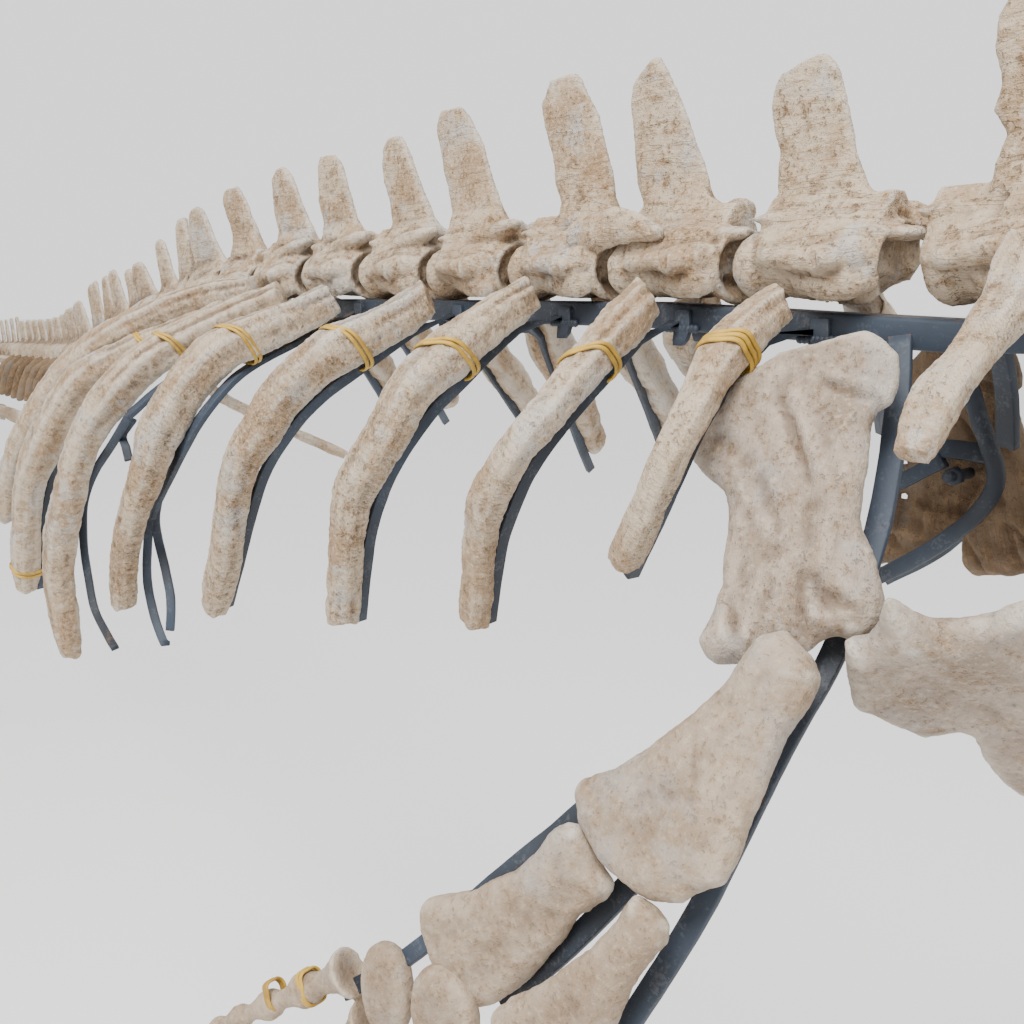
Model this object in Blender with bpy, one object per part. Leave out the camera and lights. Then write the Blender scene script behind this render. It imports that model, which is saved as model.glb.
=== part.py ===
"""Mounted mosasaur skeleton: a swimming marine lizard's bones on a welded steel stand.

Units are metres and +Z is up. Every piece is drawn first in the animal's frame, where
+X is the head end, +Y the animal's left, and the origin lies on the midline at the first
trunk vertebra, 1.47 above the floor. The model's origin is on the floor, under the
foremost post of the stand.
"""
import math

import bmesh
import bpy
from mathutils import Matrix, Vector

# ---------------------------------------------------------------- driving dimensions
BACKBONE_HEIGHT = 1.47          # the animal frame's origin above the floor
FRONT_POST_X = 0.45             # the foremost post, in the animal's frame
GAP = 0.0003                    # clearance between pieces that rest on each other

TRUNK_PITCH = 0.115             # from one vertebra to the next in the chest
LOIN_PITCH = 0.088              # the same behind the chest
NECK_PITCH = 0.105
COLUMN_Z = 0.045                # centre line of the chest vertebrae
CENTRUM_HALF_HEIGHT = 0.0245
CENTRUM_HALF_WIDTH = 0.030

NECK_FIRST = -6                 # vertebra numbers: the chest starts at 1, the neck ends at 0
CHEST_LAST = 8
LOIN_LAST = 24
TAIL_BASE_LAST = 33
TAIL_MIDDLE_LAST = 48
TAIL_END_LAST = 66
SACRAL = 26
CHEVRON_FIRST = 28

# Neural spines of the chest, from vertebra 0 on: height above the arch, middle and
# length of the base, middle and length of the top, all along the back.
CHEST_SPINES = (
    (0.095, 0.010, 0.044, 0.012, 0.036),
    (0.082, -0.015, 0.059, -0.029, 0.037),
    (0.103, -0.015, 0.060, -0.050, 0.022),
    (0.102, 0.011, 0.056, -0.019, 0.038),
    (0.102, -0.008, 0.072, -0.048, 0.034),
    (0.090, 0.002, 0.066, -0.028, 0.030),
    (0.086, -0.006, 0.066, -0.042, 0.026),
    (0.082, 0.006, 0.064, -0.030, 0.024),
    (0.088, 0.004, 0.066, -0.046, 0.024),
)

# Ribs of the chest: the middle line from the head, over the bend, to the broken end.
RIGHT_RIBS = (
    ((0.136, -0.060, 0.040), (0.137, -0.080, 0.020), (0.141, -0.108, -0.003), (0.145, -0.130, -0.018),
     (0.149, -0.150, -0.041)),
    ((0.000, -0.046, 0.024), (0.002, -0.100, -0.003), (0.009, -0.142, -0.045), (-0.006, -0.150, -0.085),
     (-0.030, -0.145, -0.127)),
    ((-0.110, -0.046, 0.027), (-0.102, -0.120, -0.007), (-0.097, -0.165, -0.051), (-0.129, -0.172, -0.114),
     (-0.150, -0.165, -0.189)),
    ((-0.228, -0.046, 0.027), (-0.216, -0.125, -0.005), (-0.227, -0.182, -0.065), (-0.249, -0.200, -0.123),
     (-0.273, -0.195, -0.212)),
    ((-0.369, -0.046, 0.025), (-0.370, -0.120, -0.009), (-0.398, -0.175, -0.060), (-0.427, -0.203, -0.126),
     (-0.498, -0.200, -0.254)),
    ((-0.534, -0.046, 0.024), (-0.542, -0.140, -0.015), (-0.565, -0.200, -0.074), (-0.595, -0.224, -0.152),
     (-0.670, -0.225, -0.287)),
    ((-0.640, -0.046, 0.026), (-0.706, -0.185, -0.056), (-0.762, -0.232, -0.151), (-0.818, -0.243, -0.256),
     (-0.836, -0.235, -0.383)),
    ((-0.700, -0.046, 0.024), (-0.817, -0.180, -0.045), (-0.883, -0.238, -0.153), (-0.914, -0.248, -0.222),
     (-0.946, -0.250, -0.327)),
    ((-0.765, -0.046, 0.018), (-0.863, -0.170, -0.040), (-0.915, -0.222, -0.109), (-0.963, -0.240, -0.166),
     (-1.011, -0.248, -0.249)),
)
LEFT_RIBS = (
    ((0.137, 0.050, 0.027), (0.143, 0.080, 0.012), (0.146, 0.105, -0.004), (0.144, 0.125, -0.024)),
    ((-0.005, 0.046, 0.025), (-0.020, 0.090, 0.004), (-0.040, 0.135, -0.022), (-0.060, 0.170, -0.052)),
    ((-0.130, 0.046, 0.022), (-0.190, 0.080, 0.000), (-0.222, 0.140, -0.038), (-0.250, 0.190, -0.070)),
    ((-0.235, 0.046, 0.022), (-0.256, 0.085, -0.014), (-0.276, 0.150, -0.066), (-0.310, 0.200, -0.104)),
    ((-0.330, 0.046, 0.018), (-0.342, 0.072, -0.016), (-0.365, 0.125, -0.072), (-0.398, 0.180, -0.123)),
    ((-0.448, 0.046, 0.016), (-0.458, 0.090, -0.030), (-0.473, 0.140, -0.072), (-0.492, 0.180, -0.104)),
    ((-0.575, 0.046, 0.016), (-0.590, 0.088, -0.018), (-0.630, 0.145, -0.055), (-0.680, 0.200, -0.105)),
    ((-0.690, 0.046, 0.012), (-0.692, 0.086, -0.034), (-0.732, 0.140, -0.072), (-0.770, 0.185, -0.112)),
    ((-1.160, 0.064, -0.068), (-1.165, 0.096, -0.118), (-1.128, 0.165, -0.167), (-1.058, 0.270, -0.227)),
)
RIB_HALF_WIDTHS = (0.0125, 0.0130, 0.0145, 0.0165, 0.0180, 0.0180, 0.0180, 0.0180, 0.0175)
LOOSE_LEFT_RIB = 8              # this one lies further back and has no strap
RIB_ROUNDNESS = 0.82            # a rib's depth as a share of its width

STRAP_HALF_WIDTH = 0.007
STRAP_HALF_THICKNESS = 0.0022
BEAM_HALF_WIDTH = 0.019
BEAM_DEPTH = 0.018
POST_SIDES = 12

# Colour, roughness and metallic value.
BONE = (0.56, 0.47, 0.36, 1.0), 0.85, 0.0
STEEL = (0.075, 0.085, 0.105, 1.0), 0.55, 0.8


# ---------------------------------------------------------------- small tools
def smooth(value):
    """A ramp from 0 to 1 with flat ends."""
    value = max(0.0, min(1.0, value))
    return value * value * (3 - 2 * value)


def mix(first, second, share):
    return first + (second - first) * share


def curve_point(points, share):
    """Point on a smooth curve through the given points, at a share from 0 to 1."""
    spans = len(points) - 1
    span = min(int(share * spans), spans - 1)
    t = share * spans - span
    before = points[span - 1] if span else 2 * points[0] - points[1]
    after = points[span + 2] if span + 2 <= spans else 2 * points[-1] - points[-2]
    p, q = points[span], points[span + 1]
    return 0.5 * (2 * p + (q - before) * t + (2 * before - 5 * p + 4 * q - after) * t * t
                  + (3 * p - before - 3 * q + after) * t ** 3)


def direction(points, share):
    """Direction of the smooth curve at a share of its length."""
    ahead, behind = min(1.0, share + 0.02), max(0.0, share - 0.02)
    return (curve_point(points, ahead) - curve_point(points, behind)).normalized()


class Shell:
    """A closed surface that is grown from ring to ring."""

    def __init__(self):
        self.bm = bmesh.new()

    def ring(self, points):
        return [self.bm.verts.new(point) for point in points]

    def band(self, first, second, openings=()):
        """Joins two rings with faces, except at the openings that other growth starts from."""
        count = len(first)
        for side in range(count):
            if side not in openings:
                after = (side + 1) % count
                self.bm.faces.new((first[side], first[after], second[after], second[side]))

    def grow(self, loop, *stages):
        """Grows a loop of vertices through stages of new positions and closes its end."""
        for stage in stages:
            new = self.ring(stage)
            self.band(loop, new)
            loop = new
        self.bm.faces.new(loop)

    def tube(self, *rings):
        """A closed body through rings of points."""
        first = self.ring(rings[0])
        self.bm.faces.new(first)
        self.grow(first, *rings[1:])

    def finish(self, name, surface, place=None):
        """Makes the object, moved from the animal's frame to the floor's."""
        if place:
            bmesh.ops.transform(self.bm, matrix=place, verts=self.bm.verts)
        shift = Vector((-FRONT_POST_X, 0, BACKBONE_HEIGHT))
        bmesh.ops.translate(self.bm, vec=shift, verts=self.bm.verts)
        bmesh.ops.recalc_face_normals(self.bm, faces=self.bm.faces)
        mesh = bpy.data.meshes.new(name)
        self.bm.to_mesh(mesh)
        self.bm.free()
        if surface:
            mesh.materials.append(material(name, *surface))
        item = bpy.data.objects.new(name, mesh)
        bpy.context.scene.collection.objects.link(item)
        return item


def material(name, colour, roughness, metallic):
    finish = bpy.data.materials.new(name)
    finish.use_nodes = True
    shader = finish.node_tree.nodes["Principled BSDF"]
    shader.inputs["Base Color"].default_value = colour
    shader.inputs["Roughness"].default_value = roughness
    shader.inputs["Metallic"].default_value = metallic
    return finish


def quad(middle, along, across):
    """Four corners round a point, for a bar's section."""
    return [middle - along - across, middle + along - across,
            middle + along + across, middle - along + across]


# ---------------------------------------------------------------- backbone
def pitch(number):
    """Spacing between a vertebra and the one before it."""
    if number <= 0:
        return NECK_PITCH
    if number <= LOIN_LAST:
        return mix(TRUNK_PITCH, LOIN_PITCH, smooth((number - 8.5) / 2.5)) - 0.006 * smooth((number - 11) / 9)
    return mix(0.084, 0.034, (number - LOIN_LAST) / (TAIL_END_LAST - LOIN_LAST))


def heading(number):
    """Turn of the backbone towards the left, in radians."""
    if number < 1:
        return 0.0
    first_bend = 6.0 * smooth((number - 9) / 7)
    second_bend = -16.0 * smooth((number - 27) / 11) + 30.0 * smooth((number - 42) / 16)
    return math.radians(first_bend + second_bend)


def slope(number):
    """Fall of the backbone towards the tail, in radians."""
    if number < 1:
        return math.radians(1.5)
    fall = 10.0 * smooth((number - 6) / 4) * (1 - 0.80 * smooth((number - 14) / 6))
    tail_bend = 16.0 * smooth((number - 48) / 8)
    return math.radians(fall + tail_bend)


class Vertebra:
    """One vertebra's place and size on the backbone."""

    def __init__(self, number, centre):
        self.number = number
        self.centre = centre
        turn, fall = heading(number), slope(number)
        back = Vector((-math.cos(turn) * math.cos(fall), math.sin(turn) * math.cos(fall), -math.sin(fall)))
        self.forward = -back
        self.left = Vector((0, 0, 1)).cross(self.forward).normalized()
        self.up = self.forward.cross(self.left)
        tail_share = max(0.0, (number - LOIN_LAST) / (TAIL_END_LAST - LOIN_LAST))
        loin_share = smooth((number - CHEST_LAST) / 10)
        self.half_height = mix(CENTRUM_HALF_HEIGHT, 0.0215, loin_share) * (1 - 0.80 * tail_share)
        self.half_width = mix(CENTRUM_HALF_WIDTH, 0.0235, loin_share) * (1 - 0.80 * tail_share)
        self.tail_share = tail_share

    def point(self, along, side, high):
        """A point given by its distances forward, left and up from the centre."""
        return self.centre + self.forward * along + self.left * side + self.up * high

    def rim(self, along, scale, sides):
        """A ring of points round the centrum; one flat faces up and one down."""
        turn = 0.5 if sides == 8 else 0.0
        angles = [math.tau * (side + turn) / sides for side in range(sides)]
        return [self.point(along, self.half_width * scale * math.cos(angle),
                           self.half_height * scale * math.sin(angle)) for angle in angles]


def backbone():
    """All vertebrae by number, from the neck's first to the tail's last."""
    column = {1: Vertebra(1, Vector((0, 0, COLUMN_Z)))}
    for number in range(2, TAIL_END_LAST + 1):
        before = column[number - 1]
        step = Vertebra(number, before.centre)
        column[number] = Vertebra(number, before.centre - step.forward * pitch(number))
    column[0] = Vertebra(0, column[1].centre + Vector((TRUNK_PITCH, 0, 0)))
    for number in range(-1, NECK_FIRST - 1, -1):
        behind = column[number + 1]
        column[number] = Vertebra(number, behind.centre + behind.forward * NECK_PITCH)
    return column


def spine_size(number):
    """Height, base middle and length, top middle and length of a neural spine."""
    if 0 <= number <= CHEST_LAST:
        return CHEST_SPINES[number]
    if number < 0:
        return 0.090 + 0.008 * number, 0.0, 0.058, -0.006, 0.040
    if number <= LOIN_LAST:
        fade = smooth((number - 14) / 5)
        return mix(0.074, 0.058, fade), 0.0, mix(0.056, 0.050, fade), mix(-0.036, -0.022, fade), 0.026
    share = (number - LOIN_LAST) / (TAIL_END_LAST - LOIN_LAST)
    high = mix(0.074, 0.012, share) + 0.030 * math.exp(-((number - 51) / 5.0) ** 2)
    return high, 0.0, mix(0.046, 0.010, share), mix(-0.022, -0.010, share), mix(0.022, 0.006, share)


def grow_spine(shell, vertebra, rings, top):
    """Neural arch with its joint faces, and the blade of the spine."""
    high, base_mid, base_long, tip_mid, tip_long = spine_size(vertebra.number)
    front, waist, rear = rings
    loop = [front[top], front[top + 1], waist[top + 1], rear[top + 1], rear[top], waist[top]]
    roof = vertebra.half_height
    length = pitch(max(vertebra.number, 1))
    arch_half = 0.62 * vertebra.half_width

    def stage(fore, aft, height, half):
        middle = (fore + aft) / 2
        return [vertebra.point(fore, half, height), vertebra.point(fore, -half, height),
                vertebra.point(middle, -half, height), vertebra.point(aft, -half, height),
                vertebra.point(aft, half, height), vertebra.point(middle, half, height)]

    base = roof + 0.017
    bend = 0.45
    bend_mid = mix(base_mid, tip_mid, bend)
    bend_long = mix(base_long, tip_long, 0.55)
    stages = [
        stage(0.47 * length, -0.43 * length, roof + 0.006, arch_half),
        stage(base_mid + 0.55 * base_long, base_mid - 0.58 * base_long, base, 0.3 * arch_half + 0.003),
        stage(bend_mid + bend_long / 2, bend_mid - bend_long / 2, base + bend * high, 0.007),
        stage(tip_mid + tip_long / 2, tip_mid - tip_long / 2, base + high, 0.005),
    ]
    if vertebra.number > CHEST_LAST:
        del stages[2]
    shell.grow(loop, *stages)


def grow_process(shell, vertebra, near, far, side, reach, drop):
    """A side process from a quad of the centrum, out to its reach."""
    sign = 1 if side == "left" else -1
    loop = [near[0], near[1], far[1], far[0]]
    wide = vertebra.half_width
    thick = 0.30 * vertebra.half_height
    root = 0.40 * (reach - wide) + wide

    def stage(out, fore, aft, height):
        upper, lower = height + thick, height - thick
        return [vertebra.point(fore, sign * out, lower), vertebra.point(fore, sign * out, upper),
                vertebra.point(aft, sign * out, upper), vertebra.point(aft, sign * out, lower)]

    length = pitch(max(vertebra.number, 1))
    shell.grow(
        loop,
        stage(root, 0.34 * length, -0.02 * length, mix(0.006, drop, 0.4)),
        stage(reach, 0.20 * length, -0.12 * length, drop),
    )


def grow_short_rib(shell, vertebra, near, far, side, reach, drop):
    """A short rib joined to its side process, as behind the chest."""
    sign = 1 if side == "left" else -1
    loop = [near[0], near[1], far[1], far[0]]
    path = ((0.75 * reach, 0.004, -0.20 * drop), (reach, -0.022, -drop))
    stages = []
    for step, (out, back, height) in enumerate(path):
        half = 0.012 - 0.003 * step
        thick = 0.008 - 0.002 * step
        stages.append([vertebra.point(back + half, sign * out, height - thick),
                       vertebra.point(back + half, sign * out, height + thick),
                       vertebra.point(back - half, sign * out, height + thick),
                       vertebra.point(back - half, sign * out, height - thick)])
    shell.grow(loop, *stages)


def grow_chevron(shell, vertebra, loop):
    """The haemal arch below a tail vertebra."""
    share = vertebra.tail_share
    depth = mix(0.075, 0.012, share) + 0.020 * math.exp(-((vertebra.number - 51) / 5.0) ** 2)
    back = mix(0.035, 0.010, share)
    half = mix(0.010, 0.003, share)
    low = -vertebra.half_height - depth
    shell.grow(loop, [vertebra.point(-back + half, 0.004, low), vertebra.point(-back + half, -0.004, low),
                      vertebra.point(-back - half, -0.004, low), vertebra.point(-back - half, 0.004, low)])


def trunk_run(column, first, last, name):
    """Vertebrae of the neck, chest or loin, joined end to end at their ball joints."""
    sides = 8
    top, right, bottom, left = 1, 3, 5, 7
    shell = Shell()
    before = None
    for number in range(first, last + 1):
        vertebra = column[number]
        length = pitch(max(number, 1))
        front = shell.ring(vertebra.rim(0.44 * length, 1.0, sides))
        waist = shell.ring(vertebra.rim(-0.04 * length, 0.80, sides))
        rear = shell.ring(vertebra.rim(-0.36 * length, 0.94, sides))
        if before:
            shell.band(before, front)
        else:
            shell.bm.faces.new(front)
        shell.band(front, waist, (top, right, left))
        shell.band(waist, rear, (top,))
        grow_spine(shell, vertebra, (front, waist, rear), top)
        for side, face in (("right", right), ("left", left)):
            after = (face + 1) % sides
            near = (front[after], front[face]) if side == "right" else (front[face], front[after])
            far = (waist[after], waist[face]) if side == "right" else (waist[face], waist[after])
            if number > CHEST_LAST:
                reach = 0.070
                drop = mix(0.030, 0.110, smooth((number - 12) / 8))
                grow_short_rib(shell, vertebra, near, far, side, reach, drop)
            elif number < 0:
                grow_process(shell, vertebra, near, far, side, 0.058, -0.012)
            else:
                grow_process(shell, vertebra, near, far, side, 0.044, 0.010)
        before = rear
    shell.bm.faces.new(before)
    return shell.finish(name, BONE)


def tail_run(column, first, last, name):
    """Tail vertebrae with spines, side processes at the base, and chevrons below."""
    sides = 6
    top, bottom, right, left = 1, 4, 2, 0
    shell = Shell()
    before = None
    for number in range(first, last + 1):
        vertebra = column[number]
        length = pitch(number)
        front = shell.ring(vertebra.rim(0.42 * length, 1.0, sides))
        rear = shell.ring(vertebra.rim(-0.38 * length, 0.80, sides))
        if before:
            shell.band(before, front)
        else:
            shell.bm.faces.new(front)
        wings = number <= TAIL_BASE_LAST
        openings = [top]
        if number >= CHEVRON_FIRST:
            openings.append(bottom)
        if wings:
            openings += [right, left]
        shell.band(front, rear, openings)
        high, base_mid, base_long, tip_mid, tip_long = spine_size(number)
        tip = vertebra.half_height + high
        shell.grow([front[top], front[top + 1], rear[top + 1], rear[top]],
                   [vertebra.point(tip_mid + tip_long / 2, 0.003, tip),
                    vertebra.point(tip_mid + tip_long / 2, -0.003, tip),
                    vertebra.point(tip_mid - tip_long / 2, -0.003, tip),
                    vertebra.point(tip_mid - tip_long / 2, 0.003, tip)])
        if number >= CHEVRON_FIRST:
            grow_chevron(shell, vertebra, [front[bottom + 1], front[bottom], rear[bottom], rear[bottom + 1]])
        if wings:
            reach = mix(0.070, 0.035, (number - LOIN_LAST) / 10)
            for sign, face in ((-1, right), (1, left)):
                after = (face + 1) % sides
                loop = [front[face], front[after], rear[after], rear[face]]
                heights = (0.004, -0.004) if sign < 0 else (-0.004, 0.004)
                shell.grow(loop, [vertebra.point(0.012, sign * reach, heights[0]),
                                  vertebra.point(0.012, sign * reach, heights[1]),
                                  vertebra.point(-0.012, sign * reach, heights[1]),
                                  vertebra.point(-0.012, sign * reach, heights[0])])
        before = rear
    shell.bm.faces.new(before)
    return shell.finish(name, BONE)


# ---------------------------------------------------------------- ribs
def rib_frames(path):
    """Middle, inward and side directions at the stations of a rib's path."""
    points = [Vector(point) for point in path]
    last = 2 * len(points) - 4
    frames = []
    for step in range(last + 1):
        share = step / last
        middle = curve_point(points, share)
        along = direction(points, share)
        belly = Vector((middle.x, 0, -0.16)) - middle
        inward = (belly - along * belly.dot(along)).normalized()
        frames.append((middle, inward, along.cross(inward)))
    return frames


def rib(name, path, half_width):
    """One rib: a flattened rod, widest before its middle, with blunt broken ends."""
    shell = Shell()
    rings = []
    frames = rib_frames(path)
    for step, (middle, inward, sideways) in enumerate(frames):
        share = step / (len(frames) - 1)
        swell = 0.86 + 0.24 * math.sin(math.pi * min(1.0, 0.08 + share)) ** 2
        ring = []
        for side in range(6):
            angle = math.tau * (side + 0.5) / 6
            ring.append(middle + inward * RIB_ROUNDNESS * half_width * swell * math.cos(angle)
                        + sideways * half_width * swell * math.sin(angle))
        rings.append(ring)
    shell.tube(*rings)
    return shell.finish(name, BONE)


# ---------------------------------------------------------------- flat bones
def plate(name, origin, along, across, stations, place=None):
    """A flat bone. Each station is its distance along, its two edges across, and its thickness."""
    origin, along, across = Vector(origin), Vector(along).normalized(), Vector(across)
    across = (across - along * across.dot(along)).normalized()
    normal = along.cross(across)
    shell = Shell()
    rings = []
    for distance, first, last, thick in stations:
        bevel = 0.22 * (last - first)
        outline = ((first, 0), (first + bevel, 0.42), ((first + last) / 2, 0.5), (last - bevel, 0.42),
                   (last, 0), (last - bevel, -0.42), ((first + last) / 2, -0.5), (first + bevel, -0.42))
        rings.append([origin + along * distance + across * side + normal * thick * depth
                      for side, depth in outline])
    shell.tube(*rings)
    return shell.finish(name, BONE, place)


SCAPULA = (
    (0.000, 0.004, 0.034, 0.010),
    (0.016, -0.024, 0.047, 0.013),
    (0.040, -0.048, 0.043, 0.013),
    (0.070, -0.060, 0.038, 0.014),
    (0.100, -0.034, 0.037, 0.016),
    (0.140, -0.031, 0.056, 0.022),
    (0.162, -0.034, 0.050, 0.026),
    (0.186, -0.030, -0.008, 0.020),
)
CORACOID = (
    (-0.018, 0.020, 0.056, 0.020),
    (0.006, -0.010, 0.049, 0.020),
    (0.028, -0.030, 0.062, 0.015),
    (0.050, -0.032, 0.092, 0.012),
    (0.080, -0.020, 0.112, 0.012),
    (0.110, -0.038, 0.116, 0.011),
    (0.140, -0.052, 0.100, 0.011),
    (0.165, -0.040, 0.060, 0.010),
)
HUMERUS = (
    (-0.004, -0.006, 0.012, 0.020),
    (0.006, -0.016, 0.024, 0.032),
    (0.035, -0.016, 0.027, 0.028),
    (0.062, -0.022, 0.033, 0.024),
    (0.089, -0.034, 0.039, 0.024),
    (0.115, -0.046, 0.044, 0.026),
    (0.138, -0.060, 0.033, 0.026),
    (0.157, -0.040, -0.006, 0.020),
)
RADIUS = (
    (0.008, -0.012, 0.004, 0.014),
    (0.024, -0.036, 0.010, 0.020),
    (0.050, -0.027, 0.020, 0.018),
    (0.085, -0.024, 0.032, 0.018),
    (0.120, -0.026, 0.042, 0.020),
    (0.148, -0.026, 0.037, 0.020),
    (0.157, -0.018, 0.002, 0.014),
)
ULNA = (
    (-0.008, -0.006, 0.013, 0.016),
    (0.010, -0.010, 0.020, 0.022),
    (0.040, -0.005, 0.024, 0.018),
    (0.070, -0.006, 0.034, 0.017),
    (0.100, -0.008, 0.046, 0.018),
    (0.122, -0.010, 0.052, 0.019),
    (0.140, 0.004, 0.044, 0.014),
)
# Places of the right arm's bones: origin, direction along and direction across.
HUMERUS_PLACE = ((0.092, -0.150, -0.144), (-0.340, -0.378, -0.861), (0.940, -0.137, -0.311))
RADIUS_PLACE = ((0.027, -0.204, -0.282), (-0.776, -0.243, -0.582), (0.580, 0.086, -0.810))
ULNA_PLACE = ((0.060, -0.215, -0.285), (-0.605, -0.252, -0.756), (0.742, 0.166, -0.649))
HAND_PLACE = ((-0.093, -0.252, -0.378), (-0.836, -0.235, -0.502), (0.503, 0.055, -0.863))
SCAPULA_PLACE = ((0.048, -0.068, 0.006), (0.142, -0.369, -0.919), (0.962, 0.271, 0.040))
CORACOID_PLACE = ((0.115, -0.135, -0.150), (0.520, 0.770, -0.370), (0.700, -0.130, 0.700))
WRIST_SLANT = 0.044
SHOULDER = Vector((0.092, 0.150, -0.144))


def hand(name, digits, joints, place):
    """Wrist bones as one slab, with the fingers grown from its far edge as strings of bones."""
    origin, along, across = (Vector(part) for part in HAND_PLACE)
    along.normalize()
    across = (across - along * across.dot(along)).normalized()
    normal = along.cross(across)
    shell = Shell()
    columns = digits + 1

    def row(distance, first, last, half):
        points = []
        for surface in (1, -1):
            steps = range(columns) if surface > 0 else range(columns - 1, -1, -1)
            for step in steps:
                share = step / digits
                bow = 0.012 * math.sin(math.pi * share)
                points.append(origin + along * (distance + bow - WRIST_SLANT * share)
                              + across * mix(first, last, share) + normal * half * surface)
        return points

    near = shell.ring(row(0.010, -0.012, 0.064, 0.008))
    middle = shell.ring(row(0.036, -0.014, 0.076, 0.009))
    far = shell.ring(row(0.062, -0.012, 0.086, 0.007))
    shell.bm.faces.new(near)
    shell.band(near, middle)
    shell.band(middle, far)
    for finger in range(digits):
        loop = [far[finger], far[finger + 1], far[-2 - finger], far[-1 - finger]]
        share = (finger + 0.5) / digits
        spread = math.radians(mix(-4.0, 44.0, share))
        aim = along * math.cos(spread) + across * math.sin(spread)
        flank = across * math.cos(spread) - along * math.sin(spread)
        start = (origin + along * (0.064 + 0.012 * math.sin(math.pi * share) - WRIST_SLANT * share)
                 + across * mix(-0.012, 0.086, share))
        wide = mix(0.0105, 0.008, share)
        bone_length = mix(0.050, 0.042, share)
        stages = []
        for joint in range(joints):
            shrink = 1.0 - 0.62 * joint / joints
            length = bone_length * shrink
            reach = start + aim * length * 0.45
            stages.append(quad_ring(reach, flank * wide * 0.62 * shrink, normal * 0.0062 * shrink))
            start = start + aim * length
            stages.append(quad_ring(start, flank * wide * shrink, normal * 0.0078 * shrink))
        shell.grow(loop, *stages)
    return shell.finish(name, BONE, place)


def quad_ring(middle, flank, thick):
    """Four corners round a point, in the order of a hand slab's edge."""
    return [middle - flank + thick, middle + flank + thick, middle + flank - thick, middle - flank - thick]


def limb(side, level, place, joints, width):
    """The five bone groups of one paddle, front or hind."""
    front = level == "front"
    names = ("humerus", "radius", "ulna", "hand") if front else ("femur", "tibia", "fibula", "foot")
    digits = 5 if front else 4
    for name, where, shape in ((names[0], HUMERUS_PLACE, HUMERUS), (names[1], RADIUS_PLACE, RADIUS),
                               (names[2], ULNA_PLACE, ULNA)):
        stations = [(t, first * width, last * width, thick) for t, first, last, thick in shape]
        plate(name + "_" + side, *where, stations, place)
    hand(names[3] + "_" + side, digits, joints, place)


# ---------------------------------------------------------------- skull
SKULL_BACK_X = 0.815
SKULL_BASE_Z = 0.046
SKULL_SPAN = 1.02
# Shares of the skull's length from the back, half width, roof height, side height.
SKULL_STATIONS = (
    (0.00, 0.105, 0.070, 0.030),
    (0.07, 0.160, 0.098, 0.050),
    (0.18, 0.168, 0.108, 0.056),
    (0.29, 0.152, 0.108, 0.060),
    (0.40, 0.124, 0.100, 0.058),
    (0.50, 0.098, 0.086, 0.052),
)
SNOUT_BANDS = 10


def skull():
    """Skull with its upper teeth, orbits, temporal windows and nostrils."""
    shell = Shell()
    stations = list(SKULL_STATIONS)
    for band in range(1, SNOUT_BANDS + 1):
        share = band / SNOUT_BANDS
        stations.append((mix(0.50, 1.0, share), mix(0.098, 0.016, share ** 0.85),
                         mix(0.086, 0.026, share ** 0.9), mix(0.052, 0.014, share)))
    rings = []
    for share, half, roof, flank in stations:
        x = SKULL_BACK_X + SKULL_SPAN * share
        z = SKULL_BASE_Z
        right = [(0.30 * half, roof), (0.66 * half, 0.86 * roof), (half, flank), (half, 0.0),
                 (0.78 * half, -0.004)]
        outline = [(-y, z + up) for y, up in reversed(right)] + [(y, z + up) for y, up in right]
        rings.append(shell.ring([Vector((x, y, up)) for y, up in outline]))
    shell.bm.faces.new(rings[0])
    teeth_start = len(SKULL_STATIONS) - 3
    for index in range(len(rings) - 1):
        toothed = index >= teeth_start
        shell.band(rings[index], rings[index + 1], (0, 8) if toothed else ())
        if not toothed:
            continue
        for face, sign in ((0, -1), (8, 1)):
            behind, ahead = rings[index], rings[index + 1]
            loop = [behind[face], behind[face + 1], ahead[face + 1], ahead[face]]
            middle = sum((vert.co for vert in loop), Vector()) / 4
            size = mix(0.0085, 0.0045, (index - teeth_start) / (len(rings) - teeth_start))
            stages = []
            for scale, down, back in ((1.0, 0.014, 0.0), (0.15, 0.050, 0.010)):
                centre = middle + Vector((-back, 0, -down * size / 0.0085))
                half_y = size * scale * (1 if loop[1].co.y > loop[0].co.y else -1)
                stages.append([centre + Vector((-size * scale, -half_y, 0)),
                               centre + Vector((-size * scale, half_y, 0)),
                               centre + Vector((size * scale, half_y, 0)),
                               centre + Vector((size * scale, -half_y, 0))])
            shell.grow(loop, *stages)
    shell.bm.faces.new(rings[-1])
    item = shell.finish("skull", BONE)
    for index, cutter in enumerate(skull_cutters()):
        cut = item.modifiers.new("opening_%d" % index, "BOOLEAN")
        cut.operation = "DIFFERENCE"
        cut.object = cutter
    return item


def window(name, middle, size, direction, depth):
    """A cutter: an eight-sided oval bar through the skull."""
    shell = Shell()
    middle = Vector(middle)
    rings = []
    for end in (-0.5, 0.5):
        ring = []
        for side in range(8):
            angle = math.tau * (side + 0.5) / 8
            along, high = size[0] * math.cos(angle), size[1] * math.sin(angle)
            if direction == "side":
                ring.append(middle + Vector((along, end * depth, high)))
            else:
                ring.append(middle + Vector((along, high, end * depth)))
        rings.append(ring)
    shell.tube(*rings)
    cutter = shell.finish(name, None)
    cutter.hide_render = True
    cutter.display_type = "WIRE"
    return cutter


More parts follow.
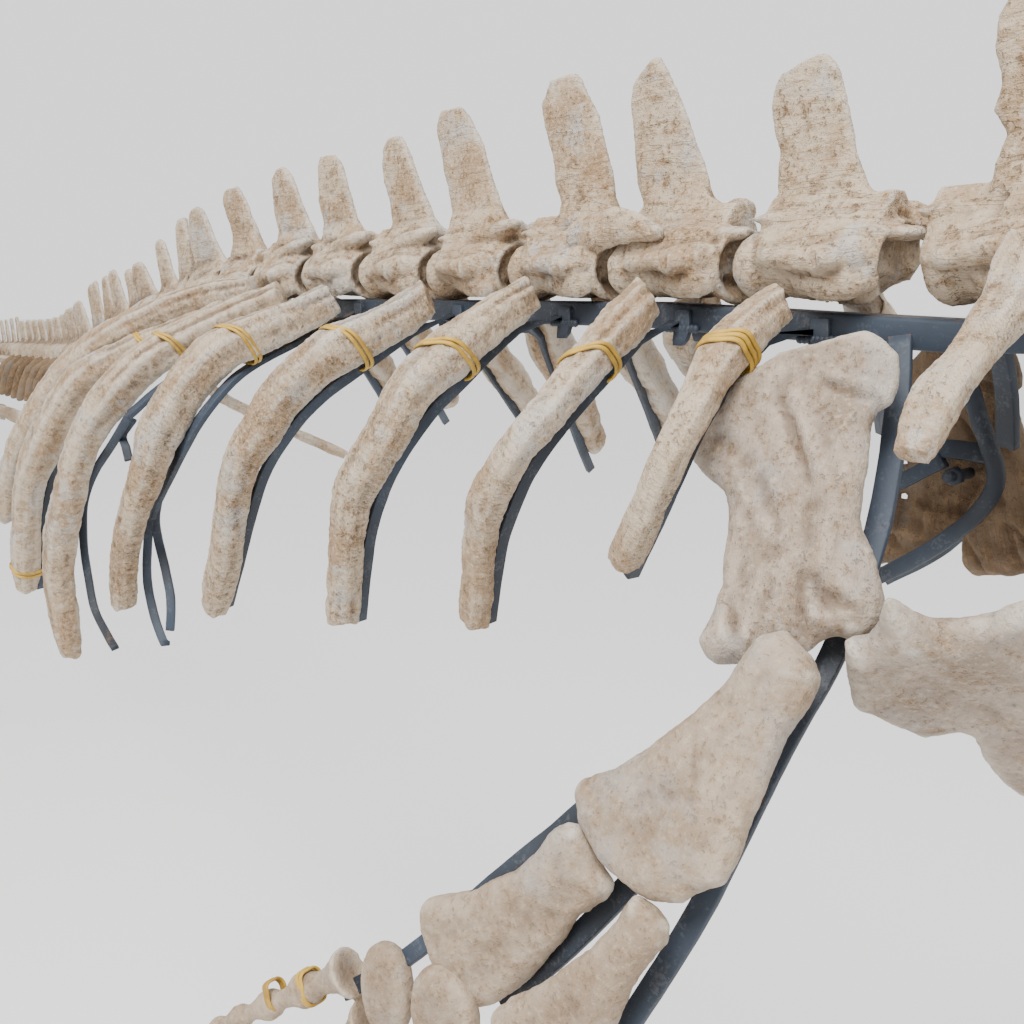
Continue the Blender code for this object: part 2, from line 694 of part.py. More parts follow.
def skull_cutters():
    """Orbits, windows behind them, nostrils, and the open sides under the cheek."""
    orbit_x = SKULL_BACK_X + 0.36 * SKULL_SPAN
    window_x = SKULL_BACK_X + 0.17 * SKULL_SPAN
    nose_x = SKULL_BACK_X + 0.60 * SKULL_SPAN
    z = SKULL_BASE_Z
    return (
        window("orbit_cutter", (orbit_x, 0, z + 0.060), (0.048, 0.026), "side", 0.5),
        window("cheek_cutter", (window_x, 0, z + 0.012), (0.090, 0.030), "side", 0.5),
        window("temple_cutter_left", (window_x, 0.078, z + 0.10), (0.085, 0.038), "top", 0.10),
        window("temple_cutter_right", (window_x, -0.078, z + 0.10), (0.085, 0.038), "top", 0.10),
        window("nose_cutter_left", (nose_x, 0.024, z + 0.085), (0.070, 0.009), "top", 0.05),
        window("nose_cutter_right", (nose_x, -0.024, z + 0.085), (0.070, 0.009), "top", 0.05),
    )


JAW_BANDS = 14


def jaw(side):
    """One lower jaw with its teeth; it opens a little below the skull."""
    sign = 1 if side == "left" else -1
    shell = Shell()
    rings = []
    for band in range(JAW_BANDS + 1):
        share = band / JAW_BANDS
        x = SKULL_BACK_X + mix(-0.02, 0.99, share) * SKULL_SPAN
        y = sign * mix(0.150, 0.014, smooth(0.5 + share / 2) * 2 - 1) if share > 0.15 else sign * 0.150
        coronoid = 0.020 * math.exp(-((share - 0.27) / 0.07) ** 2)
        deep = mix(0.050, 0.026, share) + 0.012 * math.exp(-((share - 0.30) / 0.15) ** 2) + coronoid
        thick = mix(0.012, 0.007, share)
        z = SKULL_BASE_Z - 0.0075 - 0.11 * share + coronoid
        outline = ((-0.6, 0.0), (0.6, 0.0), (1.0, 0.5), (0.5, 1.0), (-0.5, 1.0), (-1.0, 0.5))
        rings.append(shell.ring([Vector((x, y + thick * out, z - deep * down)) for out, down in outline]))
    shell.bm.faces.new(rings[0])
    for index in range(JAW_BANDS):
        toothed = index >= 5
        shell.band(rings[index], rings[index + 1], (0,) if toothed else ())
        if toothed:
            loop = [rings[index][0], rings[index][1], rings[index + 1][1], rings[index + 1][0]]
            middle = sum((vert.co for vert in loop), Vector()) / 4
            size = mix(0.0075, 0.0042, (index - 5) / (JAW_BANDS - 5))
            stages = []
            for scale, up, back in ((1.0, 0.010, 0.0), (0.15, 0.034, 0.008)):
                centre = middle + Vector((-back, 0, up * size / 0.0075))
                half = size * scale
                stages.append([centre + Vector((-half, -half, 0)), centre + Vector((-half, half, 0)),
                               centre + Vector((half, half, 0)), centre + Vector((half, -half, 0))])
            shell.grow(loop, *stages)
    shell.bm.faces.new(rings[-1])
    return shell.finish("jaw_" + side, BONE)


# ---------------------------------------------------------------- pelvis
def pelvis(column, side):
    """Ilium, pubis and ischium of one side as one three-rayed bone."""
    sign = 1 if side == "left" else -1
    sacral = column[SACRAL]
    shell = Shell()

    def section(along, out, high, half_along, half_out):
        return [sacral.point(along + half_along, sign * (out - half_out), high),
                sacral.point(along + half_along, sign * (out + half_out), high),
                sacral.point(along - half_along, sign * (out + half_out), high),
                sacral.point(along - half_along, sign * (out - half_out), high)]

    top = shell.ring(section(-0.060, 0.046, 0.028, 0.010, 0.005))
    neck = shell.ring(section(-0.020, 0.074, -0.040, 0.010, 0.007))
    socket = shell.ring(section(0.000, 0.086, -0.078, 0.022, 0.010))
    foot = shell.ring(section(0.000, 0.084, -0.104, 0.022, 0.010))
    shell.bm.faces.new(top)
    shell.band(top, neck)
    shell.band(neck, socket)
    shell.band(socket, foot, (0, 2))

    def blade(along, out, high, half_high, half_out):
        return [sacral.point(along, sign * (out - half_out), high + half_high),
                sacral.point(along, sign * (out + half_out), high + half_high),
                sacral.point(along, sign * (out + half_out), high - half_high),
                sacral.point(along, sign * (out - half_out), high - half_high)]

    shell.grow([socket[0], socket[1], foot[1], foot[0]],
               blade(0.065, 0.060, -0.118, 0.010, 0.006), blade(0.120, 0.022, -0.140, 0.020, 0.006))
    shell.grow([socket[3], socket[2], foot[2], foot[3]],
               blade(-0.060, 0.058, -0.122, 0.011, 0.006), blade(-0.100, 0.022, -0.142, 0.024, 0.006))
    shell.bm.faces.new(foot)
    return shell.finish("pelvis_" + side, BONE)


# ---------------------------------------------------------------- stand
def beam_top(column, x):
    """Height of the beam's top under the neck and the chest."""
    knots = []
    for number in (8, 7, 6):
        vertebra = column[number]
        knots.append((vertebra.centre.x, vertebra.centre.z - 0.924 * vertebra.half_height - 0.0014))
    knots += [(-0.14, 0.0216), (0.09, 0.0138), (0.795, 0.0380), (0.825, 0.0414), (2.0, 0.0414)]
    for (x0, z0), (x1, z1) in zip(knots, knots[1:]):
        if x <= x1:
            return mix(z0, z1, (x - x0) / (x1 - x0))
    return knots[-1][1]


def beam_section(middle, left, up, half_width, half_depth):
    """Left top, right top, right bottom and left bottom corners of a bar."""
    return [middle + left * half_width + up * half_depth, middle - left * half_width + up * half_depth,
            middle - left * half_width - up * half_depth, middle + left * half_width - up * half_depth]


def side_bar_place(vertebra):
    """Middle, half thickness and half depth of the bar on the left side of the tail."""
    half_depth = mix(0.007, 0.003, vertebra.tail_share)
    half_thick = 0.0022
    out = vertebra.half_width + 0.0028 + half_thick
    return vertebra.point(0, out, -0.0055 - half_depth), half_thick, half_depth


def strap_stages(path, half_width, splay, extra):
    """Sections of a flat strap that lies along the inner side of a rib."""
    offset = RIB_ROUNDNESS * half_width + STRAP_HALF_THICKNESS + 0.0010
    stages = []
    frames = rib_frames(path)
    last = len(frames) - 1
    for step in range(1, last + 1):
        middle, inward, sideways = frames[step]
        fore = sideways if sideways.x > 0 else -sideways
        away = offset + splay * smooth((step / last - 0.45) / 0.55)
        if step == last:
            middle = middle + (frames[last][0] - frames[last - 1][0]).normalized() * extra
        centre = middle + inward * away
        stages.append([centre + fore * STRAP_HALF_WIDTH - inward * STRAP_HALF_THICKNESS,
                       centre + fore * STRAP_HALF_WIDTH + inward * STRAP_HALF_THICKNESS,
                       centre - fore * STRAP_HALF_WIDTH + inward * STRAP_HALF_THICKNESS,
                       centre - fore * STRAP_HALF_WIDTH - inward * STRAP_HALF_THICKNESS])
    return stages


def spine_beam(column):
    """The welded bar that carries the backbone, with a strap for each rib of the chest."""
    shell = Shell()
    left, up = Vector((0, 1, 0)), Vector((0, 0, 1))
    stops = [(1.12, None), (0.825, None), (0.795, None), (0.09, None)]
    for index in range(1, len(RIGHT_RIBS)):
        x = RIGHT_RIBS[index][0][0]
        stops += [(x + STRAP_HALF_WIDTH, index), (x - STRAP_HALF_WIDTH, None)]
    before = None
    opening = None
    for x, index in stops:
        middle = Vector((x, 0, beam_top(column, x) - BEAM_DEPTH / 2))
        ring = shell.ring(beam_section(middle, left, up, BEAM_HALF_WIDTH, BEAM_DEPTH / 2))
        if before is None:
            shell.bm.faces.new(ring)
        else:
            openings = () if not opening else (1,) if opening == LOOSE_LEFT_RIB else (1, 3)
            shell.band(before, ring, openings)
            if opening:
                splay = {5: 0.024, 6: 0.030}.get(opening, 0.0)
                width = RIB_HALF_WIDTHS[opening]
                shell.grow([before[1], before[2], ring[2], ring[1]],
                           *strap_stages(RIGHT_RIBS[opening], width, splay, 0.006))
                if opening != LOOSE_LEFT_RIB:
                    shell.grow([before[0], before[3], ring[3], ring[0]],
                               *strap_stages(LEFT_RIBS[opening], width, 0.0, 0.030))
        before, opening = ring, index
    for number in range(9, TAIL_END_LAST - 5):
        vertebra = column[number]
        if number <= LOIN_LAST:
            below = 0.924 * vertebra.half_height + 0.0014 + BEAM_DEPTH / 2
            middle = vertebra.point(0, 0, -below)
            half_width, half_depth = mix(BEAM_HALF_WIDTH, 0.012, (number - 9) / 11), BEAM_DEPTH / 2
        elif number == LOIN_LAST + 1:
            middle, half_width, half_depth = vertebra.point(0, 0.024, -0.030), 0.006, 0.006
        else:
            if number > TAIL_BASE_LAST and number % 3:
                continue
            middle, half_width, half_depth = side_bar_place(vertebra)
        ring = shell.ring(beam_section(middle, vertebra.left, vertebra.up, half_width, half_depth))
        shell.band(before, ring)
        before = ring
    shell.bm.faces.new(before)
    return shell.finish("stand_beam", STEEL)


def post(name, x, y, top, radius, plate_radius):
    """A round post that stands on a disc on the floor."""
    shell = Shell()
    floor = -BACKBONE_HEIGHT
    profile = ((plate_radius, 0.0), (plate_radius, 0.009), (plate_radius - 0.004, 0.012), (radius, 0.016))
    rings = []
    for size, height in profile + ((radius, top - floor),):
        angles = [math.tau * side / POST_SIDES for side in range(POST_SIDES)]
        rings.append([Vector((x + size * math.cos(angle), y + size * math.sin(angle), floor + height))
                      for angle in angles])
    shell.tube(*rings)
    return shell.finish(name, STEEL)


# The flat bar from the beam down behind the shoulder, and on behind the paddle's bones.
GIRDLE_BAR = ((0.066, -0.0255, 0.004), (0.078, -0.044, -0.040), (0.086, -0.068, -0.098))
PADDLE_BAR = ((0.090, -0.106, -0.155), (0.083, -0.140, -0.205), (0.075, -0.166, -0.255),
              (0.066, -0.184, -0.296), (0.046, -0.204, -0.352), (0.018, -0.224, -0.414))
PADDLE_BAR_HALF_WIDTH = 0.0065
PADDLE_BAR_HALF_THICKNESS = 0.003


def bar(name, path, steps, place=None):
    """A flat bar bent along a smooth path, broad side out."""
    points = [Vector(point) for point in path]
    wide = Vector((0.8, 0, -0.4))
    shell = Shell()
    rings = []
    for step in range(steps + 1):
        share = step / steps
        middle = curve_point(points, share)
        along = direction(points, share)
        across = (wide - along * along.dot(wide)).normalized()
        thick = along.cross(across)
        rings.append(quad(middle, across * PADDLE_BAR_HALF_WIDTH, thick * PADDLE_BAR_HALF_THICKNESS))
    shell.tube(*rings)
    return shell.finish(name, STEEL, place)


def rod(name, path, radius, steps):
    """A round rod bent along a smooth path."""
    points = [Vector(point) for point in path]
    shell = Shell()
    rings = []
    for step in range(steps + 1):
        share = step / steps
        middle = curve_point(points, share)
        along = direction(points, share)
        across = along.cross(Vector((1, 0.2, 0))).normalized()
        lift = along.cross(across)
        rings.append([middle + across * radius * math.cos(math.tau * side / 6)
                      + lift * radius * math.sin(math.tau * side / 6) for side in range(6)])
    shell.tube(*rings)
    return shell.finish(name, STEEL)


# ---------------------------------------------------------------- the mounted skeleton
def main():
    for item in list(bpy.data.objects):
        bpy.data.objects.remove(item, do_unlink=True)
    column = backbone()
    skull()
    for side in ("left", "right"):
        jaw(side)
    trunk_run(column, NECK_FIRST, -1, "neck_vertebrae")
    trunk_run(column, 0, CHEST_LAST, "chest_vertebrae")
    trunk_run(column, CHEST_LAST + 1, LOIN_LAST, "loin_vertebrae")
    tail_run(column, LOIN_LAST + 1, TAIL_BASE_LAST, "tail_base")
    tail_run(column, TAIL_BASE_LAST + 1, TAIL_MIDDLE_LAST, "tail_middle")
    tail_run(column, TAIL_MIDDLE_LAST + 1, TAIL_END_LAST, "tail_end")

    for side, paths in (("right", RIGHT_RIBS), ("left", LEFT_RIBS)):
        for index, path in enumerate(paths):
            rib("rib_%s_%d" % (side, index), path, RIB_HALF_WIDTHS[index])

    mirror = Matrix.Diagonal((1, -1, 1, 1))
    shoulder_right = Vector((SHOULDER.x, -SHOULDER.y, SHOULDER.z))
    swing = Matrix.Rotation(math.radians(-28), 4, "Z") @ Matrix.Rotation(math.radians(48), 4, "X")
    left_arm = Matrix.Translation(SHOULDER) @ swing @ mirror @ Matrix.Translation(-shoulder_right)
    hip = column[SACRAL]
    hind_turn = Matrix.Rotation(math.radians(15), 4, "Y") @ Matrix.Scale(0.68, 4)
    hip_right, hip_left = hip.point(0, -0.106, -0.094), hip.point(0, 0.106, -0.094)
    right_leg = Matrix.Translation(hip_right) @ hind_turn @ Matrix.Translation(-shoulder_right)
    left_leg = (Matrix.Translation(hip_left) @ Matrix.Rotation(math.radians(8), 4, "X") @ hind_turn @ mirror
                @ Matrix.Translation(-shoulder_right))
    for side, place in (("right", None), ("left", mirror)):
        plate("scapula_" + side, *SCAPULA_PLACE, SCAPULA, place)
        plate("coracoid_" + side, *CORACOID_PLACE, CORACOID, place)
        pelvis(column, side)
    limb("right", "front", None, 5, 1.0)
    limb("left", "front", left_arm, 5, 1.0)
    limb("right", "hind", right_leg, 3, 0.8)
    limb("left", "hind", left_leg, 3, 0.8)

    spine_beam(column)
    beam_low = beam_top(column, FRONT_POST_X - 0.016) - BEAM_DEPTH
    post("stand_post_front", FRONT_POST_X, 0.0, beam_low - GAP, 0.016, 0.28)
    for name, number in (("stand_post_middle", 44), ("stand_post_rear", 54)):
        middle, _, half_depth = side_bar_place(column[number])
        post(name, middle.x, middle.y, middle.z - half_depth - 0.0045, 0.009, 0.20)
    bar("stand_paddle_bar_right", GIRDLE_BAR + PADDLE_BAR, 16)
    bar("stand_paddle_bar_left", PADDLE_BAR, 10, left_arm)
    rod("stand_girdle_rod_left", ((0.042, 0.0255, 0.006), (0.058, 0.044, -0.012), (0.071, 0.056, -0.040),
                                  (0.080, 0.066, -0.070), (0.081, 0.071, -0.094), (0.068, 0.075, -0.114),
                                  (0.040, 0.075, -0.141), (-0.010, 0.076, -0.175)), 0.0058, 14)


main()
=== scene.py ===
import math

import bmesh
import bpy
import numpy as np
from mathutils import Matrix, Vector, noise


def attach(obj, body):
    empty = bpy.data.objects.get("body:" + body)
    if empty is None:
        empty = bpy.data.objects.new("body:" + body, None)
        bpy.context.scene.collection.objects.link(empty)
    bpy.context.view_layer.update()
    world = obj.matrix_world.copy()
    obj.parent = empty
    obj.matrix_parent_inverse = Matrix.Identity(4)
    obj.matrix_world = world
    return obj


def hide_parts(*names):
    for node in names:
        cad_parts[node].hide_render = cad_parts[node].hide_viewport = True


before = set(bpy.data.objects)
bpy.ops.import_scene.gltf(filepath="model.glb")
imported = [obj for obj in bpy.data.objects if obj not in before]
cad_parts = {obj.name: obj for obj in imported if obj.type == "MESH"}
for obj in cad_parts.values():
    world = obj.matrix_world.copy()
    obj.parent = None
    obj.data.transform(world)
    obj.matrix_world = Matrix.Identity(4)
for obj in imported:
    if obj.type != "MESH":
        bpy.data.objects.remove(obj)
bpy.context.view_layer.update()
scene = bpy.context.scene

# ================================================================ view and room
# A camera that stands under the neck and looks back along the right side, over a plain
# pale floor, with one broad soft light overhead and an even white room round it.
lens = bpy.data.cameras.new("camera")
lens.lens, lens.sensor_width, lens.clip_start = 36.91, 36.0, 0.01
camera = bpy.data.objects.new("camera", lens)
camera.location = (-0.05963, -0.57559, 1.500)
camera.rotation_euler = Vector((-0.75602, 0.62100, -0.20686)).to_track_quat("-Z", "Y").to_euler()
scene.collection.objects.link(camera)
scene.camera = camera

world = bpy.data.worlds.new("room")
world.use_nodes = True
world.node_tree.nodes["Background"].inputs["Color"].default_value = (1.0, 1.0, 1.0, 1.0)
world.node_tree.nodes["Background"].inputs["Strength"].default_value = 1.45
scene.world = world

for label, place, aim, size, power, tint in (
        ("overhead", (0.3, -2.0, 4.4), (-0.8, 0.0, 1.3), 1.8, 270.0, (1.0, 0.985, 0.96)),
        ("front_fill", (2.4, -2.6, 1.6), (-0.6, 0.0, 1.2), 2.4, 20.0, (0.93, 0.96, 1.0))):
    lamp = bpy.data.lights.new(label, "AREA")
    lamp.shape, lamp.size, lamp.energy, lamp.color = "DISK", size, power, tint
    light = bpy.data.objects.new(label, lamp)
    light.location = place
    light.rotation_euler = (Vector(aim) - Vector(place)).to_track_quat("-Z", "Y").to_euler()
    scene.collection.objects.link(light)


class Shade:
    """A value in a finish's recipe. Arithmetic on it adds the nodes that work it out."""

    def __init__(self, tree, socket=None):
        self.tree, self.socket = tree, socket

    def node(self, kind, settings, inputs, output=0):
        """Any node: its settings first, then the values or links of its sockets."""
        made = self.tree.nodes.new("ShaderNode" + kind)
        for name, value in settings.items():
            setattr(made, name, value)
        for name, value in inputs.items():
            if isinstance(value, Shade):
                self.tree.links.new(value.socket, made.inputs[name])
            else:
                made.inputs[name].default_value = value
        return Shade(self.tree, made.outputs[output])

    def sum(self, operation, first, second):
        return self.node("Math", {"operation": operation}, {0: first, 1: second})

    def __add__(self, other):
        return self.sum("ADD", self, other)

    def __mul__(self, other):
        return self.sum("MULTIPLY", self, other)

    def __sub__(self, other):
        return self.sum("SUBTRACT", self, other)

    def __rsub__(self, other):
        return self.sum("SUBTRACT", other, self)

    __radd__ = __add__

    def spread(self, scale):
        """A place scaled by a number for each direction."""
        return self.node("VectorMath", {"operation": "MULTIPLY"}, {0: self, 1: scale})

    def cloud(self, scale, detail=4.0, rough=0.55):
        """Soft noise at this place."""
        return self.node("TexNoise", {}, {"Vector": self, "Scale": scale, "Detail": detail, "Roughness": rough})

    def step(self, low, high):
        """0 below low, 1 above high, and a smooth ramp between them."""
        return self.node("MapRange", {"interpolation_type": "SMOOTHSTEP"},
                         {"Value": self, "From Min": low, "From Max": high})

    def tinted(self, first, second):
        """The first colour where this value is 0 and the second where it is 1."""
        return self.node("Mix", {"data_type": "RGBA"}, {0: self, 6: first, 7: second}, 2)

    def bump(self, strength, depth):
        """A surface that stands out where this value is high."""
        return self.node("Bump", {}, {"Strength": strength, "Distance": depth, "Height": self})


def recipe(name):
    """A new finish, with its Principled shader and the place on the object as a value."""
    finish = bpy.data.materials.new(name)
    finish.use_nodes = True
    start = Shade(finish.node_tree)
    return finish, finish.node_tree.nodes["Principled BSDF"], start.node("TexCoord", {}, {}, "Object")


def wire(finish, shader, links):
    """Links the values that vary over a surface to the sockets of its shader."""
    for socket, value in links.items():
        finish.node_tree.links.new(value.socket, shader.inputs[socket])


floor_mesh = bpy.data.meshes.new("floor")
floor_shell = bmesh.new()
bmesh.ops.create_grid(floor_shell, x_segments=8, y_segments=8, size=60.0)
floor_shell.to_mesh(floor_mesh)
floor_shell.free()
floor = bpy.data.objects.new("floor", floor_mesh)
scene.collection.objects.link(floor)
paint, shader, place = recipe("floor_paint")
tone = place.cloud(3.0).tinted((0.86, 0.86, 0.86, 1.0), (0.88, 0.88, 0.88, 1.0))
wire(paint, shader, {"Base Color": tone})
shader.inputs["Roughness"].default_value = 0.9
floor_mesh.materials.append(paint)


# ================================================================ backbone
# Seventy-odd fossil vertebrae, cup in front and ball behind, threaded along the steel bar
# from the neck to the tail's tip. Each is mineral bone, dry and matt, with chipped edges.
X, Y, Z = Vector((1, 0, 0)), Vector((0, 1, 0)), Vector((0, 0, 1))
ANIMAL = Vector((-0.45, 0.0, 1.47))     # where the animal frame's origin lies over the floor
CHEST_HEIGHT = 0.045                    # of the first centres of the chest, in that frame
TRUNK_PITCH, LOIN_PITCH, NECK_PITCH, TAIL_PITCH, TIP_PITCH = 0.115, 0.088, 0.105, 0.084, 0.034
CHEST_HIGH, CHEST_WIDE, LOIN_HIGH, LOIN_WIDE = 0.0245, 0.030, 0.0215, 0.0235    # half sizes
SPINE_HALF_THICKNESS = 0.0046
NECK_FIRST, CHEST_LAST, LOIN_LAST, TAIL_BASE_LAST, TAIL_MIDDLE_LAST, TAIL_END_LAST = -6, 8, 24, 33, 48, 66
SACRAL, CHEVRON_FIRST = 26, 28


def metres(table):
    """Tables of places and sizes are written in millimetres."""
    if isinstance(table, dict):
        return {key: metres(row) for key, row in table.items()}
    return tuple(metres(row) for row in table) if isinstance(table, tuple) else round(table / 1000, 6)


# Rows of each chest spine: height over the centre, rear edge and front edge.
CHEST_SPINES = metres((
    ((36, -14, 46), (52, -14, 36), (66, -9, 32), (79, -17, 31), (92, -14, 30), (111, -19, 29), (127, -18, 28),
     (139, -10, 24), (145, -1, 16)),
    ((34, -40, 36), (45, -41, 24), (63, -43, 14), (70, -42, 12), (81, -46, 9), (99, -50, 4), (111, -47, 0),
     (117, -43, -4), (122, -28, -8), (125, -18, -12)),
    ((34, -40, 34), (47, -42, 19), (60, -50, 16), (74, -52, 9), (95, -56, -2), (116, -59, -13), (129, -58, -22),
     (136, -50, -27), (144, -40, -33)),
    ((36, -15, 46), (52, -17, 41), (67, -25, 39), (82, -27, 34), (97, -33, 28), (112, -38, 22), (128, -42, 11),
     (135, -37, 6), (145, -34, -3)),
    ((36, -48, 32), (53, -47, 21), (70, -53, 12), (87, -60, 4), (104, -64, -3), (121, -70, -15), (130, -70, -21),
     (140, -62, -34)),
    ((36, -28, 46), (49, -28, 37), (68, -34, 25), (86, -44, 14), (105, -45, 3), (117, -43, -5), (126, -36, -13)),
    ((38, -40, 32), (56, -47, 17), (76, -56, 9), (96, -55, 0), (110, -56, -8), (121, -52, -20)),
    ((38, -28, 46), (53, -31, 42), (75, -42, 27), (97, -42, 12), (110, -42, 2), (122, -30, -12)),
    ((38, -30, 40), (68, -33, 30), (81, -39, 20), (94, -48, 14), (107, -53, 4), (121, -48, -10))))


def ease(value):
    value = max(0.0, min(1.0, value))
    return value * value * (3 - 2 * value)


def mix(first, second, share):
    return first + (second - first) * share


def pitch(number):
    """Spacing between a vertebra and the one before it."""
    if number <= 0:
        return NECK_PITCH
    if number <= LOIN_LAST:
        return mix(TRUNK_PITCH, LOIN_PITCH, ease((number - 8.5) / 2.5)) - 0.006 * ease((number - 11) / 9)
    return mix(TAIL_PITCH, TIP_PITCH, (number - LOIN_LAST) / (TAIL_END_LAST - LOIN_LAST))


class Vertebra:
    """One vertebra's place, directions and size on the backbone."""

    def __init__(self, number, centre):
        self.number, self.centre = number, centre
        turn, fall = 0.0, 1.5
        if number >= 1:
            turn = 6.0 * ease((number - 9) / 7) - 16.0 * ease((number - 27) / 11) + 30.0 * ease((number - 42) / 16)
            fall = 10.0 * ease((number - 6) / 4) * (1 - 0.80 * ease((number - 14) / 6))
            fall += 16.0 * ease((number - 48) / 8)
        turn, fall = math.radians(turn), math.radians(fall)
        back = Vector((-math.cos(turn) * math.cos(fall), math.sin(turn) * math.cos(fall), -math.sin(fall)))
        self.forward = -back
        self.left = Z.cross(self.forward).normalized()
        self.up = self.forward.cross(self.left)
        self.tail = max(0.0, (number - LOIN_LAST) / (TAIL_END_LAST - LOIN_LAST))
        loin = ease((number - CHEST_LAST) / 10)
        self.high = mix(CHEST_HIGH, LOIN_HIGH, loin) * (1 - 0.80 * self.tail)
        self.wide = mix(CHEST_WIDE, LOIN_WIDE, loin) * (1 - 0.80 * self.tail)
        self.long = TRUNK_PITCH if number == 0 else pitch(number)

    def point(self, along, side, up):
        return self.centre + self.forward * along + self.left * side + self.up * up


column = {1: Vertebra(1, Vector((0, 0, CHEST_HEIGHT)))}
for number in range(2, TAIL_END_LAST + 1):
    step = Vertebra(number, column[number - 1].centre)
    column[number] = Vertebra(number, step.centre - step.forward * pitch(number))
column[0] = Vertebra(0, Vector((TRUNK_PITCH, 0, CHEST_HEIGHT)))
for number in range(-1, NECK_FIRST - 1, -1):
    column[number] = Vertebra(number, column[number + 1].centre + column[number + 1].forward * NECK_PITCH)


def loft(shell, rings, joined=False):
    """A closed body through rings of points; joined, it runs back into its first ring."""
    made = [[shell.verts.new(point) for point in ring] for ring in rings]
    if not joined:
        shell.faces.new(made[0])
        shell.faces.new(made[-1])
    for near, far in zip(made, made[1:] + made[:1] if joined else made[1:]):
        for side in range(len(near)):
            after = (side + 1) % len(near)
            shell.faces.new((near[side], near[after], far[after], far[side]))


def oval(centre, wide, high, sides=16, square=1.0):
    """A ring round a point from two half axes; below 1, square makes it boxier."""
    points = []
    for side in range(sides):
        angle = math.tau * (side + 0.5) / sides
        c, s = math.cos(angle), math.sin(angle)
        points.append(centre + wide * math.copysign(abs(c) ** square, c) + high * math.copysign(abs(s) ** square, s))
    return points


def limb_form(shell, place, points, sides=12):
    """A knobbly arm of bone: points are place in the vertebra's frame and two half widths."""
    rings = []
    for index, (along, side, up, wide, high) in enumerate(points):
        middle = Vector((along, side, up))
        before, after = points[max(0, index - 1)], points[min(len(points) - 1, index + 1)]
        run = (Vector(after[:3]) - Vector(before[:3])).normalized()
        flat = Z - run * run.z
        if flat.length < 0.2:
            flat = X - run * run.x
        flat.normalize()
        across = run.cross(flat)
        rings.append([place(*point) for point in oval(middle, across * wide, flat * high, sides)])
    loft(shell, rings)


def centrum(shell, bone):
    """The body of a vertebra: ball, waist, flared front rim and the cup in it."""
    profile = ((-0.560, 0.10), (-0.552, 0.36), (-0.530, 0.60), (-0.495, 0.80), (-0.45, 0.92), (-0.40, 0.97),
               (-0.355, 0.95), (-0.315, 0.84), (-0.24, 0.76), (-0.06, 0.66), (0.14, 0.68), (0.28, 0.84), (0.37, 1.00),
               (0.42, 1.04), (0.440, 0.99), (0.43, 0.88), (0.40, 0.77), (0.365, 0.58), (0.345, 0.32), (0.34, 0.05))
    rim = 0.44
    squeeze = 0.16 if bone.number == 0 else 0.0     # the first is shorter
    broken = 0.52 if bone.number == 1 else 0.0      # the second's cup is broken on its left side
    rings = []
    for along, size in profile:
        along += squeeze * (rim - along)
        ring = oval(bone.point(along * bone.long, 0, 0), bone.left * bone.wide * size, bone.up * bone.high * size, 28)
        if broken and along > 0.0:
            for index, spot in enumerate(ring):
                off = spot - bone.centre
                far = ease((off.dot(bone.left) / bone.wide + 0.8) / 1.2)
                far *= ease((0.75 - off.dot(bone.up) / bone.high) / 0.9)
                ring[index] = spot - bone.forward * broken * far * bone.long * along / rim
        rings.append(ring)
    loft(shell, rings)


# Spines of the back: the tip's place along, its height and breadth, and the foot's two ends.
PLAIN_LOIN_SPINE = metres((-34, 83, 64, -46, 34))
LOIN_SPINES = metres({9: (-24, 123, 34, -52, 62), 10: (-52, 111, 28, -60, -2), 11: (-73, 100, 42, -64, 12),
    12: (-31, 99, 30, -40, 34), 13: (-28, 115, 34, -44, 45), 14: (0, 116, 32, -30, 50),
    15: (-6, 120, 66, -32, 60), 16: (-66, 107, 70, -62, 46), 17: (-66, 100, 66, -70, 30),
    18: (-40, 91, 66, -50, 34), 19: (-36, 86, 66, -48, 34)})


def spine_rows(bone):
    """Rows of a neural spine behind and before the chest."""
    number, tail = bone.number, bone.tail
    sway = 0.004 * math.sin(number * 2.3) * (1 - tail)
    if 0 <= number <= LOIN_LAST:
        tip_mid, high, tip, rear, front = LOIN_SPINES.get(number, PLAIN_LOIN_SPINE)
        return [(mix(0.030, high, share), mix(rear, tip_mid - tip / 2 + sway, share) - bulge * 0.003,
                 mix(front, tip_mid + tip / 2 + sway, share) + bulge * 0.003)
                for share, bulge in ((0.0, 1.0), (0.2, 0.3), (0.4, -0.2), (0.6, 0.2), (0.8, 0.9), (0.93, 0.3),
                                     (1.0, -2.4))]
    if number < 0:
        high, base, tip_mid, tip = 0.090 + 0.008 * number, 0.058, -0.006, 0.040
    else:
        high = mix(0.074, 0.012, tail) + 0.030 * math.exp(-((number - 51) / 5.0) ** 2)
        base, tip_mid, tip = mix(0.046, 0.010, tail), mix(-0.022, -0.010, tail), mix(0.022, 0.006, tail)
    foot = bone.high + (0.012 if number < 0 else 0.0)
    rows = []
    for share, bulge in ((-0.10, 1.18), (0.10, 1.0), (0.30, 0.92), (0.55, 0.98), (0.80, 1.08), (0.95, 0.98),
                         (1.0, 0.70)):
        middle = mix(0.0, tip_mid + sway, share)
        half = mix(base, tip, max(0.0, share)) * bulge / 2
        rows.append((foot + high * share, middle - half, middle + half))
    return rows


